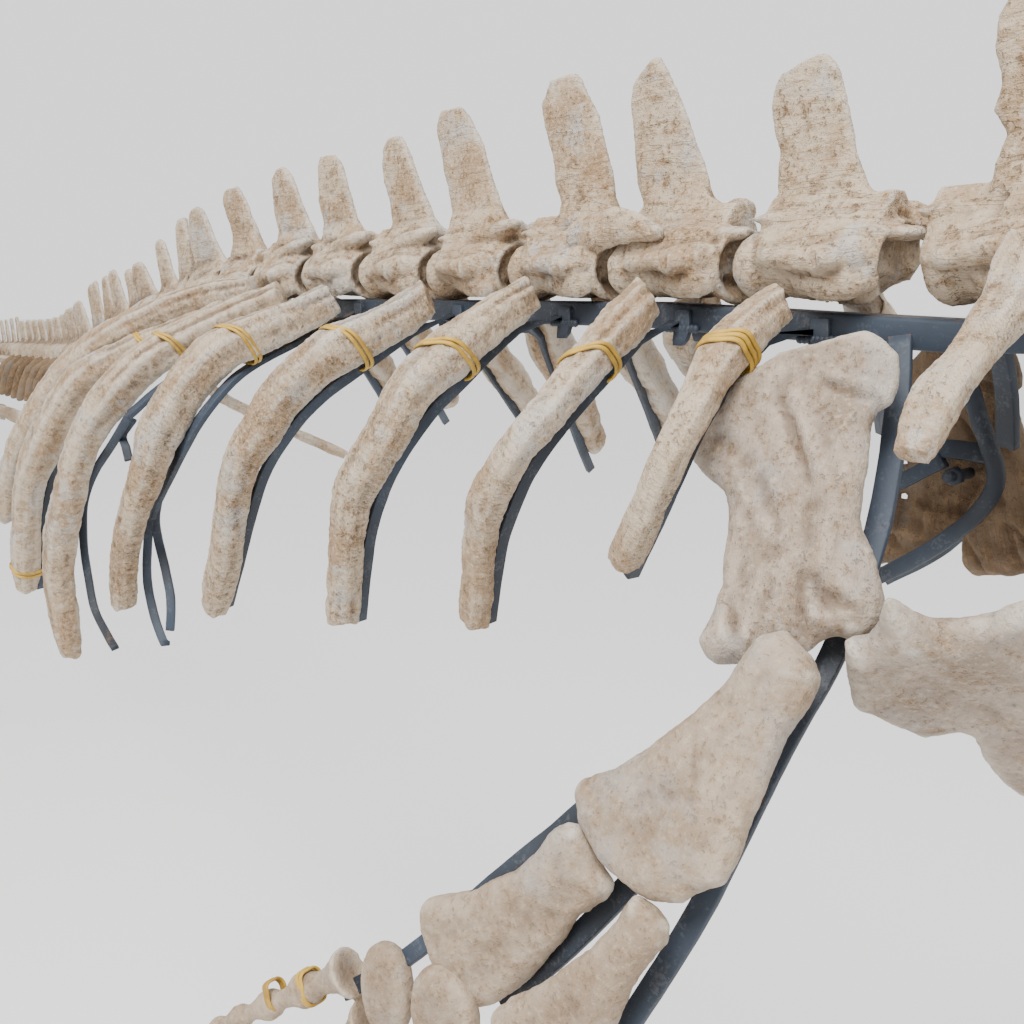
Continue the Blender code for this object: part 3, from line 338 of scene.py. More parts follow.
# Joint processes of the chest vertebrae: places as shares of the length and the half width,
# height, and two half widths. Some front ones have their own, by number and side (-1 right).
FRONT_PROCESSES = {
    (1, -1): ((0.00, 0.66, 0.016, 0.010, 0.008), (0.24, 0.62, 0.0175, 0.010, 0.007),
              (0.42, 0.50, 0.0175, 0.010, 0.005), (0.56, 0.36, 0.0165, 0.007, 0.0035),
              (0.60, 0.32, 0.0160, 0.003, 0.002)),
    (1, 1): ((0.04, 0.50, 0.024, 0.010, 0.009), (0.22, 0.62, 0.029, 0.010, 0.010),
             (0.36, 0.64, 0.028, 0.010, 0.010), (0.48, 0.60, 0.021, 0.009, 0.009),
             (0.56, 0.54, 0.016, 0.006, 0.006)),
    (2, -1): ((0.02, 0.64, 0.018, 0.010, 0.008), (0.26, 0.60, 0.020, 0.010, 0.007),
              (0.44, 0.46, 0.021, 0.009, 0.005), (0.53, 0.40, 0.0215, 0.005, 0.003)),
    (2, 1): ((-0.10, 0.50, 0.030, 0.009, 0.008), (0.10, 0.66, 0.034, 0.009, 0.008),
             (0.22, 0.76, 0.038, 0.010, 0.010), (0.30, 0.76, 0.038, 0.006, 0.006)),
    (3, -1): ((0.18, 0.62, 0.022, 0.011, 0.013), (0.42, 0.84, 0.026, 0.009, 0.015),
              (0.62, 0.98, 0.030, 0.007, 0.014), (0.82, 1.02, 0.027, 0.006, 0.010),
              (0.96, 0.98, 0.023, 0.005, 0.006), (1.01, 0.96, 0.022, 0.003, 0.003))}
PLAIN_FRONT_PROCESS = ((0.02, 0.50, 0.026, 0.009, 0.008), (0.24, 0.56, 0.030, 0.0095, 0.008),
                       (0.40, 0.54, 0.034, 0.009, 0.007), (0.50, 0.50, 0.037, 0.007, 0.005),
                       (0.53, 0.49, 0.037, 0.004, 0.003))
REAR_PROCESS = ((-0.10, 0.28, 0.028, 0.009, 0.007), (-0.32, 0.36, 0.029, 0.010, 0.0045),
                (-0.43, 0.40, 0.029, 0.006, 0.0025))


def blade_ring(bone, up, rear, front, half_thickness):
    """One level of a spine's thin blade."""
    return oval(bone.point((rear + front) / 2, 0, up), bone.forward * (front - rear) / 2,
                bone.left * half_thickness, 20, 0.62)


def neural_arch(shell, bone, rows):
    """The roof over the spinal canal, its side ledges, the joint faces and the spine's blade."""
    wide, high, long = bone.wide, bone.high, bone.long
    ledge = 1.0 if bone.number <= CHEST_LAST else 0.86
    rings = []
    for along, spread, keel in ((-0.37, 0.72, 0.30), (-0.31, 0.88, 0.62), (-0.20, 0.98, 0.80), (-0.02, 1.05, 0.86),
                                (0.14, 1.13, 0.84), (0.26, 1.12, 0.74), (0.34, 1.00, 0.50), (0.385, 0.84, 0.24)):
        sway = 0.05 * math.sin(9.0 * along + 1.7 * bone.number)
        half = ((0.20 * spread, -keel), (0.50 * spread, -0.78 * keel), (0.74 * spread, -0.40),
                (0.93 * spread * ledge, -0.14 + sway), (1.06 * spread * ledge, 0.03 + sway),
                (1.09 * spread * ledge, 0.20 + sway), (1.00 * spread * ledge, 0.46), (0.82 * spread, 0.84),
                (0.50, 1.26), (0.18, 1.72))
        ring = [bone.point(along * long, wide * side, high * up) for side, up in half]
        ring += [bone.point(along * long, -wide * side, high * up) for side, up in reversed(half)]
        rings.append(ring)
    if bone.number <= LOIN_LAST:
        loft(shell, rings)
        for sign in (-1, 1) if bone.number < CHEST_LAST else ():
            for run in (FRONT_PROCESSES.get((bone.number, sign), PLAIN_FRONT_PROCESS), REAR_PROCESS):
                limb_form(shell, bone.point, [(along * long, sign * side * wide, up, across, deep)
                                              for along, side, up, across, deep in run], 14)
    rings = []
    foot, top = rows[0][0], rows[-1][0]
    for up, rear, front in rows:
        share = (up - foot) / (top - foot)
        thick = SPINE_HALF_THICKNESS + 0.0100 * max(0.0, 1 - share / 0.26) ** 2 - 0.0008 * share
        thick = high / CHEST_HIGH * thick * (0.7 if up == top else 1.0)
        rings.append(blade_ring(bone, up, rear, front, thick))
    loft(shell, rings)


def rib_facet(shell, bone):
    """Side processes that carry the ribs of the chest, or end bluntly on the neck."""
    wide, high, long = bone.wide, bone.high, bone.long
    reach, drop = (0.056, -0.012) if bone.number < 0 else (0.040, 0.002)
    for sign in (-1, 1) if bone.number != 1 else (-1,):     # the second one's left side is worn away
        lift = 0.05 * math.sin(2.3 * bone.number + sign)
        for run in (
                ((-0.33, 0.78, 0.10 + lift, 0.004, 0.003), (-0.22, 0.98, 0.16 + lift, 0.006, 0.006),
                 (0.00, 1.08, 0.16 - lift, 0.007, 0.0075), (0.20, 1.13, 0.20 - lift, 0.008, 0.0095),
                 (0.33, 1.04, 0.26, 0.007, 0.010), (0.41, 0.92, 0.32, 0.004, 0.006)),
                ((-0.08, 0.70, -0.34, 0.006, 0.007), (0.12, 0.92, -0.36 - lift, 0.007, 0.012),
                 (0.30, 1.00, -0.32, 0.007, 0.013), (0.40, 0.92, -0.28, 0.005, 0.009))):
            limb_form(shell, bone.point, [(along * long, sign * side * wide, up * high, across, deep)
                                          for along, side, up, across, deep in run])
        limb_form(shell, bone.point, (
            (0.20 * long, sign * 0.70 * wide, 0.16 * high, 0.020, 0.010),
            (0.15 * long, sign * mix(wide, reach, 0.5), mix(0.16 * high, drop, 0.5), 0.016, 0.009),
            (0.11 * long, sign * (reach - 0.003), drop, 0.013, 0.008),
            (0.10 * long, sign * reach, drop, 0.009, 0.005)))


def skin(name, shell, voxel, rounds=3):
    """Makes one skin over overlapping bodies and moves it to its place over the floor."""
    bmesh.ops.recalc_face_normals(shell, faces=shell.faces)
    bmesh.ops.translate(shell, vec=ANIMAL, verts=shell.verts)
    raw = bpy.data.meshes.new(name)
    shell.to_mesh(raw)
    shell.free()
    item = bpy.data.objects.new(name, raw)
    scene.collection.objects.link(item)
    if voxel:
        cover = item.modifiers.new("cover", "REMESH")
        cover.mode, cover.voxel_size = "VOXEL", voxel
        even = item.modifiers.new("even", "SMOOTH")
        even.factor, even.iterations = 0.5, rounds
        made = bpy.data.meshes.new_from_object(item.evaluated_get(bpy.context.evaluated_depsgraph_get()))
        item.modifiers.clear()
        item.data = made
    return item


def weather(item, depth, size=28.0, grain=None, seed=0.0, upward=False):
    """Roughens a piece by noise, and notes at each point how hollow it lies, or how far it
    looks upward, and its grain."""
    mesh = item.data
    count = len(mesh.vertices)
    spots, facing = np.empty((count, 3)), np.empty((count, 3))
    mesh.vertices.foreach_get("co", spots.ravel())
    mesh.vertex_normals.foreach_get("vector", facing.ravel())
    shift = Vector((seed, 0.37 * seed, 0.11 * seed))
    rise = np.empty(count)
    for index, spot in enumerate(spots):
        at = Vector(spot) * size + shift
        rise[index] = (noise.noise(at) + 0.55 * noise.noise(at * 2.3) + 0.42 * noise.noise(at * 5.1)
                       + 0.30 * noise.noise(at * 11.0) - 1.3 * max(0.0, noise.noise(at * 1.7 + shift) - 0.26))
    spots += facing * (depth * rise)[:, None]
    mesh.vertices.foreach_set("co", spots.ravel())
    if upward:
        hollow = facing[:, 2]
    else:
        ends = np.empty((len(mesh.edges), 2), np.int64)
        mesh.edges.foreach_get("vertices", ends.ravel())
        first, second = np.concatenate((ends, ends[:, ::-1])).T
        around = np.maximum(np.bincount(first, minlength=count), 1)[:, None]
        even = spots.copy()
        for _ in range(14):
            even = np.stack([np.bincount(first, even[second, axis], count) for axis in range(3)], 1) / around
        hollow = ((even - spots) * facing).sum(1) / 0.0016
        hollow = np.clip(hollow - np.median(hollow), -1.6, 1.6)
    mesh.attributes.new("hollow", "FLOAT", "POINT").data.foreach_set("value", hollow.astype(np.float32))
    run = spots if grain is None else np.asarray(grain(spots))
    mesh.attributes.new("grain", "FLOAT_VECTOR", "POINT").data.foreach_set("vector", run.astype(np.float32).ravel())
    mesh.polygons.foreach_set("use_smooth", np.ones(len(mesh.polygons), bool))
    mesh.update()
    return item


def fossil_bone(name, tan, pale, grey, coarse):
    """Dry mineral bone: mottled tan and cream, grey worn patches, brown in the hollows that is partly dirt and partly
    painted shade, and paler edges that are partly wear and partly a painted highlight.
    Coarse is 1 for spongy, pitted bone and less for smooth plates."""
    finish, shader, place = recipe(name)
    grain = place.node("Attribute", {"attribute_name": "grain"}, {}, "Vector")
    hollow = place.node("Attribute", {"attribute_name": "hollow"}, {}, "Fac")
    broad, patch = place.cloud(6.0, 3.0), place.cloud(23.0, 6.0, 0.64)
    worn, lump = place.cloud(15.0, 6.0, 0.70), place.cloud(85.0, 5.0, 0.66)
    speck, crumb = place.cloud(270.0, 4.0, 0.66), place.cloud(720.0, 3.0, 0.6)
    fibre = grain.spread((34.0, 210.0, 210.0)).cloud(1.0, 5.0, 0.66)
    crack = grain.spread((11.0, 70.0, 70.0)).cloud(1.0, 3.0, 0.6)
    line = (1.0 - ((crack - 0.5) * (crack - 0.5)).step(0.0, 0.00010)) * (coarse * coarse)
    # A dark finish keeps its own grey and pale for its rubbed edges and specks, so that its painted shade stays dark.
    chalk, sand = ((0.50, 0.45, 0.38, 1.0), (0.50, 0.42, 0.32, 1.0)) if pale[0] > 0.3 else (grey, pale)
    colour = (broad * 0.35 + patch * 0.65).step(0.42, 0.57).tinted(tan, pale)
    pitted = (lump * 0.5 + fibre * 0.5).step(0.49, 0.60) * (0.68 * coarse)
    colour = pitted.tinted(colour, (0.235, 0.145, 0.072, 1.0))
    colour = (worn.step(0.53 - 0.05 * (1 - coarse), 0.62) * 0.85).tinted(colour, grey)
    colour = ((1.0 - speck).step(0.53, 0.66) * (0.60 * coarse)).tinted(colour, sand)
    fleck = (speck * 0.5 + crumb * 0.3 + lump * 0.2).step(0.54, 0.62)
    colour = (fleck * (0.68 * coarse)).tinted(colour, (0.125, 0.075, 0.040, 1.0))
    # Brown in the concave places: partly dirt, partly painted shade where hollows and undercuts would lie in shadow.
    dirt_and_shade = (hollow + patch - 0.52).step(0.0, 1.15) * (0.52 + 0.14 * coarse)
    dirt_and_shade += line * hollow.step(-0.2, 0.4) * 0.20
    colour = dirt_and_shade.tinted(colour, (0.070, 0.040, 0.022, 1.0))
    # Paler colour on convex edges and bumps: partly worn bone, partly a painted highlight.
    rubbed_and_highlit = (0.0 - hollow + speck * 0.5).step(0.45, 1.25) * 0.60
    height = patch * 0.35 + lump * 0.55 + fibre * 0.50 + speck * 0.42 + crumb * 0.20 - fleck * 0.25 - line * 0.16
    wire(finish, shader, {"Base Color": rubbed_and_highlit.tinted(colour, chalk), "Roughness": 0.76 + patch * 0.2,
                          "Normal": height.bump(1.0, 0.0040 * coarse)})
    shader.inputs["Specular IOR Level"].default_value = 0.22
    return finish


# The first of these is a dark brown copy of the bone colour and is painted shade: it goes on the short ribs that hang
# in shadow under the side processes, and on the shoulder bones and fragments of the shaded far side.
painted_shade_bone, rib_bone, warm_bone, grey_bone, girdle_bone = (
    fossil_bone(name, (*tan, 1), (*pale, 1), (*grey, 1), coarse) for name, tan, pale, grey, coarse in (
        ("painted_shade_bone", (0.105, 0.066, 0.036), (0.170, 0.115, 0.070), (0.150, 0.120, 0.092), 0.8),
        ("rib_bone", (0.315, 0.215, 0.130), (0.455, 0.365, 0.270), (0.420, 0.385, 0.340), 0.78),
        ("warm_bone", (0.315, 0.215, 0.130), (0.450, 0.355, 0.255), (0.395, 0.362, 0.325), 1.0),
        ("grey_bone", (0.250, 0.184, 0.126), (0.345, 0.270, 0.199), (0.300, 0.264, 0.230), 0.44),
        ("girdle_bone", (0.235, 0.180, 0.134), (0.345, 0.278, 0.220), (0.300, 0.268, 0.240), 0.58)))


def present(item, finish, slot, *nodes):
    """Gives a piece its finish and stands it in for its solids."""
    item.data.materials.clear()
    item.data.materials.append(finish)
    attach(item, "root")
    if nodes:
        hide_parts(*nodes)


for number in range(0, CHEST_LAST + 1):
    bone = column[number]
    shell = bmesh.new()
    centrum(shell, bone)
    neural_arch(shell, bone, CHEST_SPINES[number])
    rib_facet(shell, bone)
    piece = skin("chest_vertebra_%d" % number, shell, 0.0016 if number < 5 else 0.0021)
    weather(piece, 0.0011, 34.0, seed=3.1 * number)
    present(piece, warm_bone, "bone", "chest_vertebrae")


def short_rib(shell, bone, sign):
    """A short rib on its side process, as behind the chest."""
    reach, drop = 0.070, mix(0.030, 0.078, ease((bone.number - 12) / 8))
    limb_form(shell, bone.point, (
        (0.10 * bone.long, sign * 0.7 * bone.wide, 0.1 * bone.high, 0.013, 0.010),
        (0.06 * bone.long, sign * 1.4 * bone.wide, -0.02 * bone.high, 0.010, 0.008),
        (0.004, sign * 0.75 * reach, -0.20 * drop, 0.010, 0.0075),
        (-0.006, sign * 0.88 * reach, -0.50 * drop, 0.009, 0.007),
        (-0.022, sign * reach, -0.96 * drop, 0.0075, 0.006),
        (-0.023, sign * reach, -drop, 0.005, 0.004)))


def tail_process(shell, bone, sign):
    """The flat side process of a vertebra at the tail's base."""
    reach = mix(0.070, 0.035, (bone.number - LOIN_LAST) / 10)
    limb_form(shell, bone.point, (
        (0.05 * bone.long, sign * 0.5 * bone.wide, 0.0, 0.016, 0.008),
        (0.02 * bone.long, sign * 0.6 * reach, 0.0, 0.013, 0.005),
        (0.0, sign * 0.95 * reach, 0.0, 0.012, 0.004),
        (0.0, sign * reach, 0.0, 0.009, 0.003)))


def chevron(shell, bone):
    """The haemal arch below a tail vertebra: two legs that join in a blade."""
    depth = mix(0.075, 0.012, bone.tail) + 0.020 * math.exp(-((bone.number - 51) / 5.0) ** 2)
    back, half = mix(0.035, 0.010, bone.tail), mix(0.008, 0.0028, bone.tail)
    for sign in (-1, 1):
        limb_form(shell, bone.point, (
            (-0.10 * bone.long, sign * 0.42 * bone.wide, -0.80 * bone.high, 0.5 * half, 0.7 * half),
            (-0.3 * back, sign * 0.30 * bone.wide, -bone.high - 0.3 * depth, 0.5 * half, 0.8 * half),
            (-0.6 * back, sign * 0.05 * bone.wide, -bone.high - 0.6 * depth, 0.55 * half, 0.9 * half)), 10)
    limb_form(shell, bone.point, (
        (-0.5 * back, 0, -bone.high - 0.5 * depth, 0.5 * half, 0.9 * half),
        (-0.8 * back, 0, -bone.high - 0.8 * depth, 0.5 * half, 1.1 * half),
        (-back, 0, -bone.high - 0.985 * depth, 0.4 * half, 0.8 * half)), 10)


for label, first, last, voxel in (
        ("neck_vertebrae", NECK_FIRST, -1, 0.0030), ("loin_vertebrae", CHEST_LAST + 1, LOIN_LAST, 0.0028),
        ("tail_base", LOIN_LAST + 1, TAIL_BASE_LAST, 0.0026),
        ("tail_middle", TAIL_BASE_LAST + 1, TAIL_MIDDLE_LAST, 0.0022),
        ("tail_end", TAIL_MIDDLE_LAST + 1, TAIL_END_LAST, 0.0017)):
    shell, short_ribs = bmesh.new(), bmesh.new()
    for number in range(first, last + 1):
        bone = column[number]
        centrum(shell, bone)
        neural_arch(shell, bone, spine_rows(bone))
        if number == CHEST_LAST + 1:        # its spine is split: this is the lower, rear half
            loft(shell, [blade_ring(bone, up * 0.955, rear - 0.046, mix(rear, front, 0.5) - 0.036,
                                    SPINE_HALF_THICKNESS) for up, rear, front in spine_rows(bone)])
        if CHEST_LAST + 2 < number <= TAIL_BASE_LAST:       # and these are closed up to their neighbours
            loft(shell, [oval(bone.point(share * bone.long, 0, 0.55 * bone.high), bone.left * bone.wide * 1.20 * size,
                              bone.up * bone.high * 1.05 * size, 20, 0.8)
                         for share, size in ((-0.50, 0.86), (-0.44, 0.96), (-0.2, 1.0), (0.2, 1.0), (0.44, 0.98),
                                             (0.50, 0.88))])
        if number < 0:
            rib_facet(shell, bone)
        for sign in (-1, 1) if 0 < number <= TAIL_BASE_LAST else ():
            if number <= LOIN_LAST:
                short_rib(short_ribs, bone, sign)
            else:
                tail_process(shell, bone, sign)
        if number >= CHEVRON_FIRST:
            chevron(shell, bone)
    piece = skin(label + "_bones", shell, voxel, 2)
    weather(piece, 0.00055 if label == "tail_end" else 0.0011, 30.0, seed=5.0)
    present(piece, warm_bone, "bone", label)
    if short_ribs.verts:
        # The short ribs take the dark brown bone: painted shade where they hang under the side processes.
        piece = skin("short_ribs", short_ribs, voxel, 2)
        weather(piece, 0.0012, 30.0, seed=6.0)
        present(piece, painted_shade_bone, "bone")


# ================================================================ ribs of the chest
# Long curved rods of bone with a shallow groove along the outer face. Their lower ends are
# broken off blunt; each right rib lies on a steel strap and is held to it by elastic bands.
# Middles from the head down; a right rib's rows end with its half width there.
RIGHT_RIBS = metres((
    ((149, -52, 45, 15), (149, -78, 21, 11.8), (148, -106, -1, 9.6), (147, -129, -18, 11.6),
     (149, -150, -41, 8.4)),
    ((0, -46, 24, 10.5), (0, -68, 14, 12.5), (2, -90, 3, 13.2), (4, -109, -11, 12.8), (8, -128, -28, 11.2),
     (9, -142, -45, 10.4), (5, -148, -61, 10.4), (-2, -149, -77, 10.6), (-10, -149, -93, 10.8),
     (-20, -148, -110, 11.2), (-30, -145, -127, 10.8)),
    ((-110, -46, 27, 13), (-104, -75, 9, 14.2), (-98, -102, -7, 13.8), (-94, -125, -22, 12.8),
     (-92, -145, -37, 12), (-95, -162, -54, 11.8), (-107, -171, -75, 11.8), (-124, -173, -100, 12.6),
     (-134, -172, -128, 11.3), (-142, -168, -158, 11.2), (-150, -165, -189, 10.6)),
    ((-230, -47, 29, 12.2), (-223, -79, 16, 14.8), (-216, -110, 2, 16.8), (-217, -138, -16, 18.4),
     (-222, -164, -39, 16.6), (-226, -181, -66, 16.2), (-234, -192, -87, 15.4), (-245, -199, -109, 15.2),
     (-253, -200, -139, 13.8), (-263, -198, -175, 13.6), (-273, -195, -212, 12.8)),
    ((-369, -46, 25, 15), (-366, -75, 9, 17.4), (-366, -105, -4, 19.6), (-374, -133, -17, 21.2),
     (-387, -157, -36, 20.2), (-399, -176, -59, 19.6), (-407, -189, -83, 18.6), (-420, -201, -108, 15.8),
     (-438, -204, -148, 15.4), (-466, -201, -200, 14.8), (-498, -200, -254, 13.2)),
    ((-534, -46, 22, 17), (-535, -84, 5, 19.8), (-538, -123, -9, 21.2), (-547, -156, -24, 20.8),
     (-555, -181, -47, 20.8), (-564, -199, -75, 22.4), (-573, -212, -102, 21.6), (-584, -219, -133, 19),
     (-608, -227, -175, 15.6), (-641, -229, -230, 14.4), (-670, -225, -287, 13.2)),
    ((-640, -46, 26, 16), (-669, -107, -4, 18.8), (-696, -165, -37, 20.2), (-719, -200, -75, 20.6),
     (-741, -221, -111, 19), (-762, -232, -151, 18), (-783, -237, -192, 18), (-808, -241, -234, 19.2),
     (-824, -243, -280, 18.8), (-831, -240, -331, 18), (-836, -235, -383, 15)),
    ((-700, -46, 24, 14), (-745, -102, -10, 15.8), (-792, -156, -38, 16.6), (-832, -196, -68, 19),
     (-860, -220, -112, 20), (-881, -236, -154, 21.2), (-896, -244, -182, 19.2), (-908, -246, -207, 18.2),
     (-920, -248, -241, 18), (-933, -249, -283, 18), (-945, -249, -327, 14.6)),
    ((-692, -50, 34, 13), (-762, -96, 19, 15.5), (-830, -156, -20, 17.5), (-880, -196, -60, 18.2),
     (-915, -222, -109, 18), (-940, -233, -138, 17.8), (-963, -240, -166, 17.2), (-988, -245, -207, 16.5),
     (-1011, -248, -249, 15))))
LEFT_RIBS = metres((
    ((137, 50, 27), (143, 80, 12), (146, 105, -4), (144, 125, -24)),
    ((-5, 46, 25), (-20, 90, 4), (-40, 135, -22), (-60, 170, -52)),
    ((-130, 46, 22), (-190, 80, 0), (-222, 140, -38), (-250, 190, -70)),
    ((-235, 46, 22), (-256, 85, -14), (-276, 150, -66), (-310, 200, -104)),
    ((-330, 46, 18), (-342, 72, -16), (-365, 125, -72), (-398, 180, -123)),
    ((-448, 46, 16), (-458, 90, -30), (-473, 140, -72), (-492, 180, -104)),
    ((-575, 46, 16), (-590, 88, -18), (-630, 145, -55), (-680, 200, -105)),
    ((-690, 46, 12), (-692, 86, -34), (-732, 140, -72), (-770, 185, -112)),
    ((-1160, 64, -68), (-1165, 96, -118), (-1128, 165, -167), (-1058, 270, -227))))
RIB_HALF_WIDTHS = metres((12.5, 13, 14.5, 16.5, 18, 18, 18, 18, 8.5))
RIB_ROUNDNESS = 0.82


def places(path):
    """The places of a path; the rows of a right rib end with its half width there."""
    return [Vector(row[:3]) for row in path]


def on_curve(points, share):
    """Point on a smooth curve through the given points, at a share from 0 to 1."""
    spans = len(points) - 1
    span = min(int(share * spans), spans - 1)
    t = share * spans - span
    before = points[span - 1] if span else 2 * points[0] - points[1]
    after = points[span + 2] if span + 2 <= spans else 2 * points[-1] - points[-2]
    p, q = points[span], points[span + 1]
    return 0.5 * (2 * p + (q - before) * t + (2 * before - 5 * p + 4 * q - after) * t * t
                  + (3 * p - before - 3 * q + after) * t ** 3)


def width_at(widths, share):
    return on_curve([Vector((width, 0, 0)) for width in widths], share).x


def heading(points, share):
    ahead = on_curve(points, min(1.0, share + 0.03))
    return (ahead - on_curve(points, max(0.0, share - 0.03))).normalized()


def rib_frame(points, share):
    """Middle, inward and forward directions of a rib at a share of its length."""
    middle, along = on_curve(points, share), heading(points, share)
    belly = Vector((middle.x, 0, -0.16)) - middle
    inward = (belly - along * belly.dot(along)).normalized()
    side = along.cross(inward)
    return middle, along, inward, side if side.x > 0 else -side


def rib_body(shell, points, widths, seed, sides=40, stations=260, cut=0.9):
    """The rod itself: two flat planes with a furrow between them by the head, rounder lower
    down, its head cut off slantwise and its lower end broken."""
    rings = []
    for step in range(-3, stations + 4):
        share = min(1.0, max(0.0, step / stations))
        over = max(0, -step, step - stations)
        shrink = (1.0, *((0.95, 0.84, 0.50) if step < 0 else (0.93, 0.76, 0.40)))[over]
        middle, along, inward, side = rib_frame(points, share)
        half = width_at(widths, share)
        lump, ripple = noise.noise(Vector((7 * share, seed, 0))), noise.noise(Vector((23 * share, seed, 5)))
        half *= 1 + 0.10 * lump + 0.03 * ripple
        half *= 1 - 0.10 * ease((share - 0.965) / 0.035)
        head, lower = 1 - ease(share / 0.42), ease((share - 0.90) / 0.10)
        square = 3.3 + 3.6 * (1 - ease(share / 0.60))
        ring = []
        for corner in range(sides):
            angle = math.tau * corner / sides
            c, s = math.cos(angle), math.sin(angle)
            size = 1.0 / (abs(c) ** square + abs(s) ** square) ** (1 / square)
            turn = (angle - math.pi + 0.16 * math.sin(5.0 * share + seed) + math.pi) % math.tau - math.pi
            size -= (0.08 + 0.30 * head) * math.exp(-((turn + 0.74) / (0.18 + 0.16 * head)) ** 2)
            size += (0.05 + 0.10 * head) * math.exp(-((turn + 0.30) / 0.20) ** 2)
            size -= 0.06 * math.exp(-((turn - 0.6) / 0.3) ** 2)
            slide = cut * half * s * shrink * max(0.0, 1 - share / 0.05)
            chip = noise.noise(Vector((1.1 * c + seed, 1.1 * s, seed)))
            slide += lower * half * (0.30 * math.sin(seed * 2.1) * s + 0.35 * chip)
            slide += half * 0.22 * (1 - shrink ** 2) * (-1 if step < 0 else 1)
            ring.append(middle + inward * (RIB_ROUNDNESS * half * size * c * shrink)
                        + side * (half * size * s * shrink) + along * slide)
        rings.append(ring)
    loft(shell, rings)


def rib_grain(points):
    """Places along and round a rib, from places in the room."""
    line = np.array([on_curve(points, step / 60) + ANIMAL for step in range(61)])
    length = np.concatenate(([0], np.cumsum(np.linalg.norm(np.diff(line, axis=0), axis=1))))

    def grain(spots):
        nearest = ((spots[:, None, :] - line[None, :, :]) ** 2).sum(2).argmin(1)
        off = spots - line[nearest]
        return np.stack((length[nearest], off[:, 1] + off[:, 0], off[:, 2] + off[:, 0]), 1)
    return grain


for index, path in enumerate(RIGHT_RIBS):
    points = places(path)
    shell = bmesh.new()
    rib_body(shell, points, [row[3] for row in path], 1.7 * index, cut=0.9 if index < 5 else 0.3)
    piece = skin("right_rib_%d" % index, shell, 0)
    weather(piece, 0.0013 if index > 1 else 0.0008, 40.0, rib_grain(points), seed=2.0 + index)
    present(piece, warm_bone if index in (3, 4, 5) else rib_bone, "bone", "rib_right_%d" % index)
for index, path in enumerate(LEFT_RIBS):
    points = places(path)
    shell = bmesh.new()
    swell = [RIB_HALF_WIDTHS[index] * (0.86 + 0.24 * math.sin(math.pi * min(1.0, 0.08 + share / 4)) ** 2)
             for share in range(5)]
    rib_body(shell, points, swell, 0.9 * index, 28, 120)
    piece = skin("left_rib_%d" % index, shell, 0)
    weather(piece, 0.0013, 40.0, rib_grain(points), seed=20.0 + index)
    present(piece, rib_bone, "bone", "rib_left_%d" % index)


# ================================================================ flat bones of the limbs
# Shoulder blades, coracoids and the long bones of the paddles: thin plates of bone with
# thick joint ends, low ridges and chipped corners, wired to the steel bars behind them.
# Outlines: places along and across the bone.
SCAPULA = metres(((15, -33), (9, -25), (6, -12), (4, -1), (1, 8), (-2, 21), (2, 28), (11, 38), (21, 41), (31, 41),
    (41, 39), (43, 33), (51, 30), (60, 32), (73, 32), (89, 31), (101, 31), (110, 35), (118, 41), (126, 45),
    (133, 47), (141, 50), (147, 50), (157, 48), (164, 43), (166, 37), (164, 30), (168, 21), (175, 16), (184, -5),
    (186, -20), (190, -33), (186, -40), (178, -45), (167, -42), (157, -39), (145, -37), (127, -39), (108, -40),
    (93, -45), (85, -57), (76, -69), (66, -67), (50, -63), (36, -55), (25, -46)))
CORACOID = metres(((-4, 20), (-11, 13), (10, -14), (24, -31), (36, -31), (60, -34), (70, -34), (72, -26),
    (78, -18), (86, -18), (106, -35), (130, -50), (149, -57), (164, -40), (166, 20), (150, 85), (122, 112),
    (85, 114), (52, 94), (35, 81), (31, 65), (23, 54), (17, 48), (7, 47), (-2, 50), (-11, 53), (-16, 55),
    (-12, 47), (-6, 33)))
HUMERUS = metres(((-5, -7), (-3, 12), (3, 22), (16, 26), (37, 27), (60, 32), (82, 37), (102, 43), (114, 45),
    (122, 40), (128, 36), (138, 33), (144, 26), (151, 18), (156, -2), (159, -17), (154, -42), (144, -58),
    (135, -60), (115, -45), (89, -34), (61, -23), (35, -17), (16, -17), (4, -15)))
RADIUS = metres(((22, -37), (14, -36), (8, -32), (7, -23), (7, -10), (4, 0), (5, 5), (12, 9), (35, 13), (55, 23),
    (83, 33), (102, 39), (127, 43), (144, 40), (152, 32), (152, 19), (158, 6), (156, -13), (151, -25), (142, -29),
    (102, -24), (66, -24), (41, -29), (28, -36)))
ULNA = metres(((-3, -13), (-8, -1), (-8, 10), (-1, 17), (15, 19), (31, 22), (52, 30), (81, 42), (105, 52),
    (122, 52), (138, 44), (140, 6), (128, -10), (110, -11), (96, -8), (68, -6), (41, -5), (15, -8)))
# Places of the right arm's bones: origin, direction along and direction across.
SCAPULA_PLACE = ((0.048, -0.068, 0.006), (0.142, -0.369, -0.919), (0.962, 0.271, 0.040))
CORACOID_PLACE = ((0.115, -0.135, -0.150), (0.520, 0.770, -0.370), (0.700, -0.130, 0.700))
HUMERUS_PLACE = ((0.092, -0.150, -0.144), (-0.340, -0.378, -0.861), (0.940, -0.137, -0.311))
RADIUS_PLACE = ((0.027, -0.204, -0.282), (-0.776, -0.243, -0.582), (0.580, 0.086, -0.810))
ULNA_PLACE = ((0.060, -0.215, -0.285), (-0.605, -0.252, -0.756), (0.742, 0.166, -0.649))
HAND_PLACE = ((-0.093, -0.252, -0.378), (-0.836, -0.235, -0.502), (0.503, 0.055, -0.863))
SHOULDER = Vector((0.092, 0.150, -0.144))
